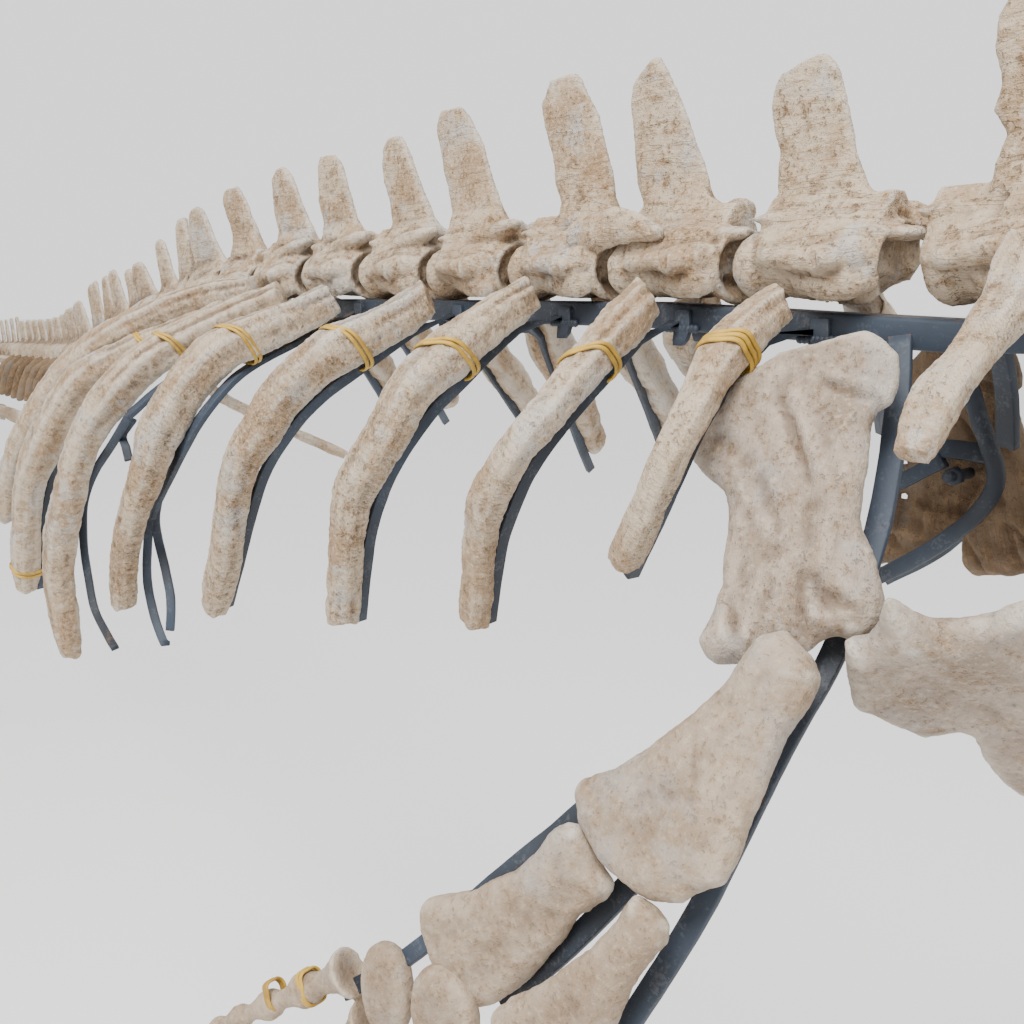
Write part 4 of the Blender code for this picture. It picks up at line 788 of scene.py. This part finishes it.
# Thickness along each bone, and low ridges and grooves on its faces: from, to, width, height.
SCAPULA_BODY = metres(((0, 10), (50, 13), (100, 16), (140, 22), (190, 26)))
SCAPULA_RELIEF = metres(((40, -19, 85, 5, 2.6, -3.4), (38, -12, 81, 11, 4, 2.4), (30, 3, 36, 20, 2.4, -3),
    (36, 20, 41, 39, 2.2, -2.6), (25, 2, 34, 38, 4.4, 2.2), (77, -40, 101, -29, 3.4, 2.2),
    (85, -23, 114, -7, 2.2, -2.4), (91, -31, 113, -14, 4.4, 2.2), (64, -50, 77, -33, 5, -2),
    (149, -32, 178, -18, 3, -4), (152, -37, 177, -23, 6, 3), (145, -12, 175, -15, 4, 3.4),
    (139, -13, 124, 8, 3, 1.8), (138, 9, 169, 14, 3, -4.4), (140, 1, 164, 1, 6, 2.4), (137, 15, 153, 26, 2.6, -4),
    (145, 25, 156, 46, 2.2, -3.6), (135, 28, 149, 47, 7, 3.8), (157, 19, 165, 39, 5.6, 2.8),
    (94, 19, 129, 18, 4.4, 2.2), (98, 7, 123, 9, 4, -1.8), (58, 20, 87, 21, 6, 2), (32, -45, 53, -52, 6, 1.8),
    (23, -25, 37, -30, 3.4, 2.2), (118, -35, 140, -26, 4, -1.6), (127, -21, 137, -13, 3, 2.2)))
CORACOID_BODY = metres(((-20, 18), (20, 18), (60, 13), (120, 12), (170, 10)))
CORACOID_RELIEF = metres(((10, 36, 110, 60, 12, 2.8), (16, 14, 80, 4, 9, -2.8)))
HUMERUS_BODY = metres(((-10, 24), (10, 34), (50, 26), (100, 24), (140, 27), (160, 24)))
HUMERUS_RELIEF = metres(((30, 20, 100, 34, 6, -2.4), (90, 12, 110, -16, 3, -1.6), (74, 14, 140, 18, 10, 2.2),
    (60, -4, 140, -36, 12, 2.2), (8, 4, 16, 8, 7, -3), (132, 30, 148, 16, 7, -6.1), (66, -8, 84, 8, 1.2, -2.2),
    (84, 8, 100, 18, 1.1, -1.9), (104, -24, 128, -36, 1.4, -2.7), (96, 0, 104, -24, 1.1, -1.6)))
RADIUS_BODY = metres(((0, 20), (50, 18), (120, 20), (160, 18)))
RADIUS_RELIEF = metres(((40, -12, 130, 4, 10, 1.2), (20, 0, 50, 6, 6, -1.2)))
ULNA_BODY = metres(((-10, 19), (20, 22), (70, 17), (120, 19)))
ULNA_RELIEF = metres(((10, 10, 100, 28, 10, 1.2),))


def bone_axes(where):
    """A bone's origin, and its directions along, across and out of its face."""
    origin, along, across = (Vector(part) for part in where)
    along.normalize()
    across = (across - along * across.dot(along)).normalized()
    return origin, along, across, along.cross(across)


def carried(name, shell, voxel, axes, matrix, depth, size, seed):
    """Carries a bone from the right arm to its own place, with the grain along it."""
    turn = matrix.to_3x3().normalized() if matrix else Matrix.Identity(3)
    if matrix:
        bmesh.ops.transform(shell, matrix=matrix, verts=shell.verts)
    turned = np.array([turn @ axis for axis in axes])
    return weather(skin(name, shell, voxel, 2), depth, size, lambda spots: spots @ turned.T, seed)


def flat_bone(name, where, outline, body, relief, matrix=None, scale=1.0, depth=0.0012):
    """A plate of bone from its outline, thick along its body and rounded at its edges."""
    cell = 0.0021
    origin, along, across, face = bone_axes(where)
    # A grid over the outline: which points lie inside and how far from the edge. The points
    # outside move on to the edge, where the two faces meet.
    edge = np.array([(a, c * scale) for a, c in outline])
    after = np.roll(edge, -1, 0)
    low, high = edge.min(0) - 2 * cell, edge.max(0) + 2 * cell
    rows, columns = (int(n) + 1 for n in np.ceil((high - low) / cell))
    grid = np.stack(np.meshgrid(np.arange(rows), np.arange(columns), indexing="ij"), 2).reshape(-1, 2) * cell + low
    run = after - edge
    share = np.clip(((grid[:, None] - edge) * run).sum(2) / (run ** 2).sum(1), 0, 1)
    foot = edge + run * share[:, :, None]
    gap = np.linalg.norm(grid[:, None] - foot, axis=2)
    cross = (edge[:, 1] > grid[:, 1, None]) != (after[:, 1] > grid[:, 1, None])
    slant = np.where(run[:, 1] == 0, 1e-9, run[:, 1])
    at = edge[:, 0] + (grid[:, 1, None] - edge[:, 1]) * run[:, 0] / slant
    inside = (cross & (grid[:, 0, None] < at)).sum(1) % 2 == 1
    spots = np.where(inside[:, None], grid, foot[np.arange(len(grid)), gap.argmin(1)])
    distance = np.where(inside, gap.min(1), 0.0)
    thick = np.interp(spots[:, 0], [b[0] for b in body], [b[1] for b in body])
    bevel = np.clip(distance / (0.62 * thick), 0, 1)
    half = 0.5 * thick * np.sqrt(1 - (1 - bevel) ** 2)
    lift = np.zeros(len(spots))
    for a0, c0, a1, c1, width, rise in relief:
        start, way = np.array((a0, c0 * scale)), np.array((a1 - a0, (c1 - c0) * scale))
        t = np.clip(((spots - start) @ way) / (way @ way), 0, 1)
        off = np.linalg.norm(spots - start - t[:, None] * way, axis=1)
        lift += rise * np.exp(-(off / width) ** 2) * bevel
    shell = bmesh.new()
    made = [{}, {}]

    def corner(layer, key):
        """A point of the lower or the upper face; the two share the points of the edge."""
        if not inside[key]:
            layer = 0
        if key not in made[layer]:
            a, c = spots[key]
            h = half[key] + lift[key] if inside[key] else 0.0
            made[layer][key] = shell.verts.new(origin + along * a + across * c + face * (h if layer else -h))
        return made[layer][key]

    for row in range(rows - 1):
        for first in range(row * columns, (row + 1) * columns - 1):
            keys = (first, first + columns, first + columns + 1, first + 1)
            if inside[list(keys)].any():
                for layer in (0, 1):
                    shell.faces.new([corner(layer, key) for key in keys])
    return carried(name, shell, cell, (along, across, face), matrix, depth, 30.0, len(name))


# Wrist bones: place along and across the hand, length, width, thickness and turn.
WRIST_BONES = ((0.038, 0.012, 0.064, 0.040, 0.019, 1.05), (-0.006, 0.032, 0.060, 0.050, 0.020, 1.05),
               (0.022, 0.068, 0.046, 0.036, 0.018, 1.25), (-0.020, 0.082, 0.042, 0.038, 0.018, 0.6),
               (0.002, 0.102, 0.034, 0.030, 0.016, 1.5), (-0.034, 0.112, 0.030, 0.026, 0.015, 0.4))


def hand_bones(name, digits, joints, matrix=None):
    """Wrist bones like flat cobbles, then rows of finger bones with flared, waisted shafts."""
    origin, along, across, face = bone_axes(HAND_PLACE)
    shell = bmesh.new()

    def turned(angle):
        """The directions along and across, turned about the face."""
        c, s = math.cos(angle), math.sin(angle)
        return along * c + across * s, across * c - along * s

    for a, c, long, wide, thick, turn in WRIST_BONES[:digits + 1]:
        aim, flank = turned(turn)
        middle = origin + along * a + across * c
        rings = []
        for step in range(-6, 7):
            level = step / 6
            size = max(0.02, 1 - abs(level) ** 3.4) ** (1 / 2.4)
            rings.append(oval(middle + face * thick * 0.5 * level, aim * long * size / 2, flank * wide * size / 2,
                              26, 0.90))
        loft(shell, rings)
    for finger in range(digits):
        share = (finger + 0.5) / digits
        aim, flank = turned(math.radians(mix(2.0, 46.0, share)))
        start = (origin + along * (0.068 + 0.012 * math.sin(math.pi * share) - 0.044 * share)
                 + across * (mix(-0.014, 0.090, share) + (0.013 if finger else 0.0)))
        wide, length = mix(0.0118, 0.0098, share), mix(0.054, 0.044, share)
        for joint in range(joints):
            shrink = 1.0 - 0.62 * joint / joints
            reach = length * shrink
            flare = 1.0 if joint == 0 else 0.45
            rings = []
            for share_along, size, swell in (
                    (0.075, 0.20, 0.4), (0.045, 0.55, 0.7), (0.015, 0.92, 1.0), (0.03, 1.02, 1.0), (0.09, 1.02, 0.9),
                    (0.20, 0.92, 0.55), (0.36, 0.78, 0.2), (0.56, 0.68, 0.0), (0.74, 0.72, 0.0), (0.88, 0.94, 0.1),
                    (0.95, 0.98, 0.1), (0.985, 0.72, 0.0)):
                middle = start + aim * reach * share_along
                rings.append(oval(middle, flank * wide * shrink * size * (1 + 0.45 * flare * swell),
                                  face * 0.0105 * shrink * size * (1 + 0.30 * flare * swell), 22, 0.92))
            loft(shell, rings)
            start = start + aim * reach
    return carried(name, shell, 0.0018, (along, across, face), matrix, 0.0007, 40.0, 7.0)


mirror = Matrix.Diagonal((1, -1, 1, 1))
shoulder_right = Vector((SHOULDER.x, -SHOULDER.y, SHOULDER.z))
left_arm = (Matrix.Translation(SHOULDER) @ Matrix.Rotation(math.radians(-28), 4, "Z")
            @ Matrix.Rotation(math.radians(48), 4, "X") @ mirror @ Matrix.Translation(-shoulder_right))
hip = column[SACRAL]
hind = Matrix.Rotation(math.radians(15), 4, "Y") @ Matrix.Scale(0.68, 4)
right_leg = Matrix.Translation(hip.point(0, -0.106, -0.094)) @ hind @ Matrix.Translation(-shoulder_right)
left_leg = (Matrix.Translation(hip.point(0, 0.106, -0.094)) @ Matrix.Rotation(math.radians(8), 4, "X") @ hind
            @ mirror @ Matrix.Translation(-shoulder_right))
for side, girdle in (("right", None), ("left", mirror)):
    # The left girdle, on the shaded far side, takes the dark brown bone: painted shade.
    finish = painted_shade_bone if girdle else girdle_bone
    present(flat_bone("shoulder_blade_" + side, SCAPULA_PLACE, SCAPULA, SCAPULA_BODY, SCAPULA_RELIEF, girdle),
            finish, "bone", "scapula_" + side)
    present(flat_bone("coracoid_plate_" + side, CORACOID_PLACE, CORACOID, CORACOID_BODY, CORACOID_RELIEF, girdle),
            finish, "bone", "coracoid_" + side)
FAR_PLATE = metres(((9, 2), (1, 22), (-4, 46), (2, 70), (14, 74), (36, 62), (56, 40), (74, 16), (84, -6),
    (74, -10), (56, -6), (40, -8), (26, 0)))
FAR_PLATE_RELIEF = metres(((10, 10, 60, 4, 6, -4), (4, 40, 50, 30, 7, 4), (12, 60, 40, 50, 5, -3.6),
    (30, 0, 36, 60, 4, -3), (56, 0, 60, 30, 5, 3.6)))
# The far-side fragments take the dark brown bone: painted shade.
present(flat_bone("left_shoulder_fragments", ((0.0, 0.094, -0.080), -Z, X), FAR_PLATE,
                  ((0.0, 0.014), (0.09, 0.012)), FAR_PLATE_RELIEF, depth=0.0022), painted_shade_bone, "bone")
ARM, LEG = (("humerus", "radius", "ulna", "hand"), 1.0, 5, 5), (("femur", "tibia", "fibula", "foot"), 0.8, 4, 3)
for side, matrix, (names, scale, digits, joints) in (
        ("right", None, ARM), ("left", left_arm, ARM), ("right", right_leg, LEG), ("left", left_leg, LEG)):
    upper, front, rear, end = (name + "_" + side for name in names)
    for node, *form in ((upper, HUMERUS_PLACE, HUMERUS, HUMERUS_BODY, HUMERUS_RELIEF),
                        (front, RADIUS_PLACE, RADIUS, RADIUS_BODY, RADIUS_RELIEF),
                        (rear, ULNA_PLACE, ULNA, ULNA_BODY, ULNA_RELIEF)):
        present(flat_bone(node + "_bone", *form, matrix, scale), grey_bone, "bone", node)
    present(hand_bones(end + "_bones", digits, joints, matrix), grey_bone, "bone", end)


# ================================================================ pelvis
# Each side is three slim bones that meet at the hip socket: the ilium up to the backbone,
# the pubis forward and the ischium back, ending in a flared blade.
PELVIS = metres((
    ((-64, 44, 32, 5, 6), (-50, 54, 8, 7, 11), (-20, 74, -40, 7, 11), (-4, 83, -68, 10, 17), (0, 86, -92, 11, 20),
     (0, 84, -106, 7, 13)),
    ((-10, 85, -88, 10, 14), (30, 74, -100, 7, 10), (65, 60, -118, 6, 11), (100, 36, -132, 6, 18),
     (118, 24, -139, 5, 18)),
    ((10, 84, -90, 10, 14), (-30, 72, -106, 7, 11), (-60, 58, -122, 6, 12), (-85, 34, -136, 6, 21),
     (-98, 24, -141, 5, 20))))
for side, sign in (("right", -1), ("left", 1)):
    shell = bmesh.new()
    for run in PELVIS:
        limb_form(shell, hip.point, [(a, sign * out, up, wide, high) for a, out, up, wide, high in run], 14)
    piece = skin("pelvis_%s_bones" % side, shell, 0.0024)
    weather(piece, 0.0008, 34.0, seed=11.0)
    present(piece, grey_bone, "bone", "pelvis_" + side)


# ================================================================ skull and jaws
# A long low skull with open windows behind the eye, and two slim jaws hung below it, with
# teeth that curve back. Teeth and bone are one solid each, of the same mineral brown.
for label in ("skull", "jaw_left", "jaw_right"):
    shell = bmesh.new()
    shell.from_mesh(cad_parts[label].data)
    bmesh.ops.remove_doubles(shell, verts=shell.verts, dist=0.00005)
    bmesh.ops.translate(shell, vec=-ANIMAL, verts=shell.verts)
    piece = skin(label + "_bones", shell, 0.0034, 5)
    weather(piece, 0.0014, 26.0, seed=17.0)
    present(piece, warm_bone, "bone", label)


# ================================================================ steel stand
# A welded bar under the backbone with a strap for each rib, flat bars behind the paddles
# and round posts on discs. It is painted dark blue grey, rubbed and rusty at the edges.
BEAM_HALF_WIDTH, BEAM_DEPTH = 0.019, 0.018
STRAP_HALF_WIDTH, STRAP_HALF_THICKNESS, STRAP_HALF_DEPTH = 0.007, 0.0028, 0.0046
BAR_REST, BAR_GAP = 0.924, 0.0014       # its top lies this share of a half height, and this gap, under a centre

steel, shader, place = recipe("painted_steel")
raised = place.node("Attribute", {"attribute_name": "hollow"}, {}, "Fac")
broad, patch, speck = place.cloud(9.0, 4.0), place.cloud(55.0, 5.0, 0.65), place.cloud(420.0, 3.0, 0.6)
colour = broad.step(0.38, 0.64).tinted((0.0085, 0.0125, 0.020, 1.0), (0.024, 0.036, 0.056, 1.0))
bared = (patch * 0.6 + speck * 0.4 + raised.step(0.55, 0.95) * 0.13).step(0.60, 0.68)
colour = bared.tinted(colour, (0.075, 0.046, 0.030, 1.0))
dust = ((1.0 - speck) * patch).step(0.27, 0.38) * 0.30
wire(steel, shader, {"Base Color": dust.tinted(colour, (0.105, 0.115, 0.13, 1.0)),
                     "Roughness": 0.66 + bared * 0.24 + dust * 0.2, "Metallic": 0.04 - bared * 0.04,
                     "Normal": (patch * 0.5 + speck * 0.4 + bared * 0.3).bump(0.45, 0.0007)})


def steel_piece(name, shell, *nodes, depth=0.0002):
    """One painted piece of the stand, in the place of its solids where it has any."""
    piece = weather(skin(name, shell, 0), depth, 60.0, upward=True)
    present(piece, steel, "painted_steel", *nodes)
    return piece


def flat_bar(shell, stations):
    """A bar with rounded edges through stations: middle, wide half axis, thin half axis."""
    rings = []
    for middle, wide, thin in stations:
        soft = 0.28 * min(thin.length, wide.length)
        w, t = wide.normalized(), thin.normalized()
        ring = []
        for sw, st in ((1, 1), (-1, 1), (-1, -1), (1, -1)):
            corner = middle + wide * sw + thin * st
            turn = (corner - t * st * soft, corner - (w * sw + t * st) * soft * 0.29, corner - w * sw * soft)
            ring += turn if sw * st > 0 else turn[::-1]
        rings.append(ring)
    loft(shell, rings)


def beam_top(x):
    """Height of the beam's top under the neck and the chest."""
    knots = [(bone.centre.x, bone.centre.z - BAR_REST * bone.high - BAR_GAP)
             for bone in (column[8], column[7], column[6])]
    knots += [(-0.14, 0.0216), (0.09, 0.0138), (0.795, 0.0380), (0.825, 0.0414), (2.0, 0.0414)]
    for (x0, z0), (x1, z1) in zip(knots, knots[1:]):
        if x <= x1:
            return mix(z0, z1, (x - x0) / (x1 - x0))
    return knots[-1][1]


def side_bar_place(bone):
    """Middle, half thickness and half depth of the bar on the left side of the tail."""
    half_depth = mix(0.007, 0.003, bone.tail)
    return bone.point(0, bone.wide + 0.0050, -0.0055 - half_depth), 0.0022, half_depth


stations = []
for x in (1.12, 1.0, 0.825, 0.795, 0.60, 0.40, 0.24, 0.09, 0.0, -0.14, -0.25, -0.36, -0.46, -0.575, -0.690, -0.78):
    stations.append((Vector((x, 0, beam_top(x) - BEAM_DEPTH / 2)), Y * BEAM_HALF_WIDTH, Z * (BEAM_DEPTH / 2)))
for number in range(9, TAIL_END_LAST - 5):
    bone = column[number]
    if number <= LOIN_LAST:
        middle = bone.point(0, 0, -(BAR_REST * bone.high + BAR_GAP + BEAM_DEPTH / 2))
        half_width, half_depth = mix(BEAM_HALF_WIDTH, 0.012, (number - 9) / 11), BEAM_DEPTH / 2
    elif number == LOIN_LAST + 1:
        middle, half_width, half_depth = bone.point(0, 0.024, -0.030), 0.006, 0.006
    else:
        middle, half_width, half_depth = side_bar_place(bone)
    stations.append((middle, bone.left * half_width, bone.up * half_depth))
shell = bmesh.new()
flat_bar(shell, stations)
steel_piece("backbone_bar", shell, "stand_beam")


def strap_run(points, widths, first, extra, aside, steps=54):
    """Stations of a strap that lies along the inner, forward side of a rib."""
    eased = list(points)
    for _ in range(3):
        eased = [eased[0]] + [(a + 2 * b + c) / 4 for a, b, c in zip(eased, eased[1:], eased[2:])] + [eased[-1]]
    stations = []
    for step in range(steps + 1):
        share = mix(first, 1.0, step / steps)
        middle, along, inward, side = rib_frame(eased, share)
        half = width_at(widths, share)
        away = RIB_ROUNDNESS * half + 0.0026
        if share == 1.0:
            middle = middle + along * extra
        stations.append((middle + inward * away + side * aside * half, side * STRAP_HALF_THICKNESS,
                         inward * STRAP_HALF_DEPTH))
    return stations


def swept(path, steps, wide, half_width, half_thickness):
    """Stations of a flat bar along a curve, its wide side turned towards one direction."""
    points, stations = places(path), []
    for step in range(steps + 1):
        middle, along = on_curve(points, step / steps), heading(points, step / steps)
        across = (wide - along * along.dot(wide)).normalized()
        stations.append((middle, across * half_width, along.cross(across) * half_thickness))
    return stations


def strap_foot(x, sign):
    """The station where a strap is welded to the backbone bar."""
    return Vector((x, sign * 0.014, beam_top(x) - 0.012)), X * STRAP_HALF_WIDTH, Z * 0.003


def bracket(shell, x, sign):
    """The welded tab and bead that tie a strap's foot to the underside of the backbone bar."""
    top = beam_top(x) - 0.004
    flat_bar(shell, [(Vector((x + 0.010 - out, sign * (BEAM_HALF_WIDTH + 0.0015 + out), top - drop)),
                      X * half, Y * 0.0022)
                     for drop, half, out in ((0.0, 0.006, 0), (0.012, 0.007, 0), (0.020, 0.006, 0.001),
                                             (0.024, 0.004, 0.002))])
    for lump in range(9):
        spot = Vector((x - 0.004 + 0.0032 * lump, sign * (BEAM_HALF_WIDTH + 0.0022), top - BEAM_DEPTH + 0.0055))
        loft(shell, [oval(spot + X * (level * 0.0026), Y * (size * 0.0026), Z * (size * 0.0030), 10)
                     for level, size in ((-1, 0.4), (-0.6, 0.85), (0, 1.0), (0.6, 0.85), (1, 0.4))])


# The two straps that bend away from their ribs and show on their own, and a forked end.
FREE_STRAPS = metres({
    5: (((-632, -203, -190), (-645, -203, -217), (-649, -205, -250), (-648, -205, -273), (-636, -205, -299),
         (-618, -205, -318), (-611, -205, -319)),
        ((-617, -200, -172), (-634, -198, -195), (-636, -196, -217), (-625, -196, -239), (-609, -198, -266),
         (-604, -200, -283), (-605, -202, -304))),
    6: (((-693, -196, -96), (-727, -203, -128), (-772, -210, -164), (-808, -212, -200), (-818, -213, -227),
         (-820, -214, -258), (-809, -215, -295), (-793, -216, -325), (-758, -216, -345), (-734, -216, -355)),
        ((-705, -188, -102), (-722, -194, -120), (-712, -195, -132), (-706, -195, -145)))})
FREE_STRAP_STEMS = metres({
    5: ((-538, -75, -16), (-542, -130, -41), (-530, -165, -61), (-550, -190, -101), (-617, -200, -170),
        (-632, -203, -190)),
    6: ((-640, -75, -12), (-655, -125, -40), (-672, -165, -66), (-693, -196, -96))})


for index in range(1, 9):
    path = RIGHT_RIBS[index]
    points = places(path)
    root = points[0].x
    foot = strap_foot(root, -1)
    shell = bmesh.new()
    if index in FREE_STRAPS:
        flat_bar(shell, [foot] + swept(FREE_STRAP_STEMS[index], 40, X, STRAP_HALF_WIDTH, STRAP_HALF_THICKNESS))
        for arm in FREE_STRAPS[index]:
            flat_bar(shell, swept(arm, 40, Vector((0.6, 0.8, 0)), 0.0042, 0.0024))
    else:
        extra, aside = (0.014, -0.10) if index == 1 else (0.002, 0.30)
        flat_bar(shell, [foot] + strap_run(points, [row[3] for row in path], 0.10, extra, aside))
    bracket(shell, root, -1)
    steel_piece("right_strap_%d" % index, shell)
    if index < 8:
        points = places(LEFT_RIBS[index])
        root = points[0].x
        shell = bmesh.new()
        flat_bar(shell, [strap_foot(root, 1)] + strap_run(points, [RIB_HALF_WIDTHS[index]] * 2, 0.12, 0.030, 0.30))
        bracket(shell, root, 1)
        steel_piece("left_strap_%d" % index, shell)

GIRDLE_BAR = metres(((66, -25.5, 4), (78, -44, -40), (86, -68, -98)))
PADDLE_BAR = metres(((90, -106, -155), (83, -140, -205), (75, -166, -255), (66, -184, -296), (46, -204, -352),
    (18, -224, -414)))
BRANCH = metres(((40, -150, -249), (24, -184, -290), (-5, -208, -338), (-46, -224, -392)))
RADIUS_EDGE_BAR = metres(((72, -152, -206), (36, -165, -222), (1, -178, -245), (-26, -200, -280),
    (-51, -224, -313), (-106, -250, -380), (-158, -268, -428)))
LEFT_EDGE_BAR = metres(((62, 126, -82), (53, 140, -94), (33, 160, -122), (-14, 190, -168), (-76, 220, -210)))
LEFT_BRACE = metres(((100, 20, 2), (98, 40, -30), (94, 56, -62)))
LEFT_TIE = metres(((24, 64, -73), (50, 66, -70), (80, 70, -71)))
LEFT_STAY = metres(((12, 64, -101), (30, 64, -90), (50, 64, -77)))
for name, path, steps, matrix, half_width, *nodes in (
        ("right_paddle_bar", GIRDLE_BAR + PADDLE_BAR, 60, None, 0.0065, "stand_paddle_bar_right"),
        ("left_paddle_bar", PADDLE_BAR, 40, left_arm, 0.0065, "stand_paddle_bar_left"),
        ("right_paddle_branch", BRANCH, 24, None, 0.0065), ("left_paddle_branch", BRANCH, 24, left_arm, 0.0065),
        ("right_paddle_edge_bar", RADIUS_EDGE_BAR, 40, None, 0.0055),
        ("left_girdle_brace", LEFT_BRACE, 16, None, 0.0065), ("left_girdle_tie", LEFT_TIE, 12, None, 0.006),
        ("left_girdle_stay", LEFT_STAY, 12, None, 0.005), ("left_paddle_edge_bar", LEFT_EDGE_BAR, 30, None, 0.0065)):
    shell = bmesh.new()
    flat_bar(shell, swept(path, steps, Vector((0.8, 0, -0.4)), half_width, 0.003))
    if matrix:
        bmesh.ops.transform(shell, matrix=matrix, verts=shell.verts)
    steel_piece(name, shell, *nodes)
shell = bmesh.new()
loft(shell, [oval(Vector((mix(-0.010, 0.060, step / 8), mix(0.128, 0.136, step / 8), -0.090)), Y * 0.004,
                  Z * 0.004, 12) for step in range(9)])
for spot in (Vector((0.024, 0.124, -0.098)), Vector((0.057, 0.068, -0.087))):
    for sides, turned in ((6, ((0.0050, -0.0050), (0.0062, -0.0042), (0.0062, 0.0010), (0.0050, 0.0018))),
                          (14, ((0.0036, -0.011), (0.0036, -0.0106), (0.0036, 0.0), (0.0036, 0.018)))):
        loft(shell, [oval(spot + Y * out, X * size, Z * size, sides) for size, out in turned])
steel_piece("left_girdle_bolts", shell, depth=0.0001)

LEFT_ROD = metres(((50, 25.5, 6), (62, 42, -6), (68, 54, -28), (73, 60, -48), (78, 66, -66), (82, 70, -83),
    (79, 72, -97), (68, 75, -113), (53, 75, -129), (32, 75, -147), (8, 75, -164), (-10, 76, -175)))
points, rings = places(LEFT_ROD), []
shell = bmesh.new()
for step in range(61):
    middle, along = on_curve(points, step / 60), heading(points, step / 60)
    across = along.cross(Vector((1, 0.2, 0))).normalized()
    rings.append(oval(middle, across * 0.0056, along.cross(across) * 0.0056, 20))
loft(shell, rings)
steel_piece("left_girdle_rod", shell, "stand_girdle_rod_left")

FRONT_POST_X, FRONT_POST_RADIUS, TAIL_POST_RADIUS = 0.45, 0.016, 0.009
posts = [("front", X * FRONT_POST_X, beam_top(FRONT_POST_X - FRONT_POST_RADIUS) - BEAM_DEPTH - 0.0003,
          FRONT_POST_RADIUS, 0.28)]
for label, number in (("middle", 44), ("rear", 54)):        # both are under the tail
    middle, _, half_depth = side_bar_place(column[number])
    posts.append((label, middle, middle.z - half_depth - 0.0045, TAIL_POST_RADIUS, 0.20))
ground = -ANIMAL.z
for label, spot, top, radius, disc in posts:
    shell = bmesh.new()
    profile = [(disc - 0.002, 0.0), (disc, 0.002), (disc, 0.0085), (disc - 0.0015, 0.0112), (disc - 0.005, 0.012),
               (radius + 0.010, 0.0125), (radius + 0.006, 0.0145), (radius + 0.002, 0.019), (radius, 0.026)]
    profile += [(radius, mix(0.026, top - ground, step / 12)) for step in range(1, 13)]
    loft(shell, [oval(Vector((spot.x, spot.y, ground + high)), X * size, Y * size, 64) for size, high in profile])
    for bolt in range(4):
        angle = math.tau * (bolt + 0.5) / 4
        middle = Vector((spot.x + 0.8 * disc * math.cos(angle), spot.y + 0.8 * disc * math.sin(angle), ground))
        loft(shell, [oval(middle + Z * high, X * size, Y * size, 6)
                     for size, high in ((0.0105, 0.010), (0.0110, 0.013), (0.0110, 0.0185), (0.0092, 0.0200))])
    piece = steel_piece("post_" + label, shell, "stand_post_" + label, depth=0.00005)
    for polygon in piece.data.polygons:
        polygon.use_smooth = abs(polygon.normal.z) < 0.9


# ================================================================ elastic bands
# Ochre ribbed elastic, a few turns round each right rib and its strap, and round the joints
# of the first finger. They are stretched on by hand, so each one slants its own way.
ochre_elastic, shader, place = recipe("ochre_elastic")
grain = place.node("Attribute", {"attribute_name": "grain"}, {}, "Vector").spread((2600.0, 0.0, 0.0))
rib = grain.node("TexWave", {"wave_type": "BANDS"}, {"Scale": 0.25, "Distortion": 0.4})
tone = (place.cloud(160.0, 4.0) * 0.7 + rib * 0.3).step(0.30, 0.75)
wire(ochre_elastic, shader, {"Base Color": tone.tinted((0.270, 0.150, 0.012, 1.0), (0.460, 0.285, 0.034, 1.0)),
                             "Normal": (rib + place.cloud(900.0, 2.0) * 0.4).bump(0.5, 0.0006)})
shader.inputs["Roughness"].default_value = 0.62


def turn_of_elastic(shell, frame_at, deep, back, broad, slant, strip=0.0018, sides=60):
    """One turn: deep and broad are its half sizes outside, back its reach behind the rib."""
    middle, along, inward, side = frame_at
    rings = []
    for corner in range(sides):
        angle = math.tau * corner / sides
        c, s = math.cos(angle), math.sin(angle)
        size = 1.0 / (abs(c) ** 3.2 + abs(s) ** 3.2) ** (1 / 3.2)
        reach = (back if c > 0 else deep) * size * c
        spot = middle + inward * reach + side * broad * size * s
        spot += along * (slant * (0.9 * s + 0.35 * c) + 0.0005 * math.sin(5 * angle))
        out = (inward * c / deep + side * s / broad).normalized()
        rings.append(oval(spot, along * strip, out * 0.0011, 10))
    loft(shell, rings, joined=True)


def band_piece(name, shell):
    piece = weather(skin(name, shell, 0), 0.0001, 90.0)
    piece.data.materials.append(ochre_elastic)
    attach(piece, "root")


for index, share, turns, slant in (
        (1, 0.25, 3, -0.005), (2, 0.25, 2, -0.010), (3, 0.30, 2, -0.009), (4, 0.28, 2, -0.010),
        (5, 0.26, 2, -0.011), (6, 0.17, 2, -0.010), (7, 0.17, 2, -0.010), (7, 0.94, 2, 0.001)):
    half = width_at([row[3] for row in RIGHT_RIBS[index]], share)
    shell = bmesh.new()
    for turn in range(turns):
        middle, along, inward, side = rib_frame(places(RIGHT_RIBS[index]), share)
        middle = middle + along * 0.0037 * (turn - (turns - 1) / 2)
        turn_of_elastic(shell, (middle, along, inward, side), RIB_ROUNDNESS * half + 0.0010,
                        RIB_ROUNDNESS * half + 0.0066, half * 0.97 + 0.0012, slant + 0.0010 * turn)
    band_piece("rib_band_%d_%d" % (index, round(100 * share)), shell)

origin, along, across, face = bone_axes(HAND_PLACE)
shell = bmesh.new()
for reach, lean, size in ((0.1120, 0.001, 0.0116), (0.1155, -0.001, 0.0117), (0.1545, 0.001, 0.0098),
                          (0.1575, 0.0, 0.0096)):
    turn_of_elastic(shell, (origin + along * reach + across * 0.0010, along, face, across),
                    0.76 * size, 0.76 * size, size, lean, 0.0019)
band_piece("finger_bands", shell)
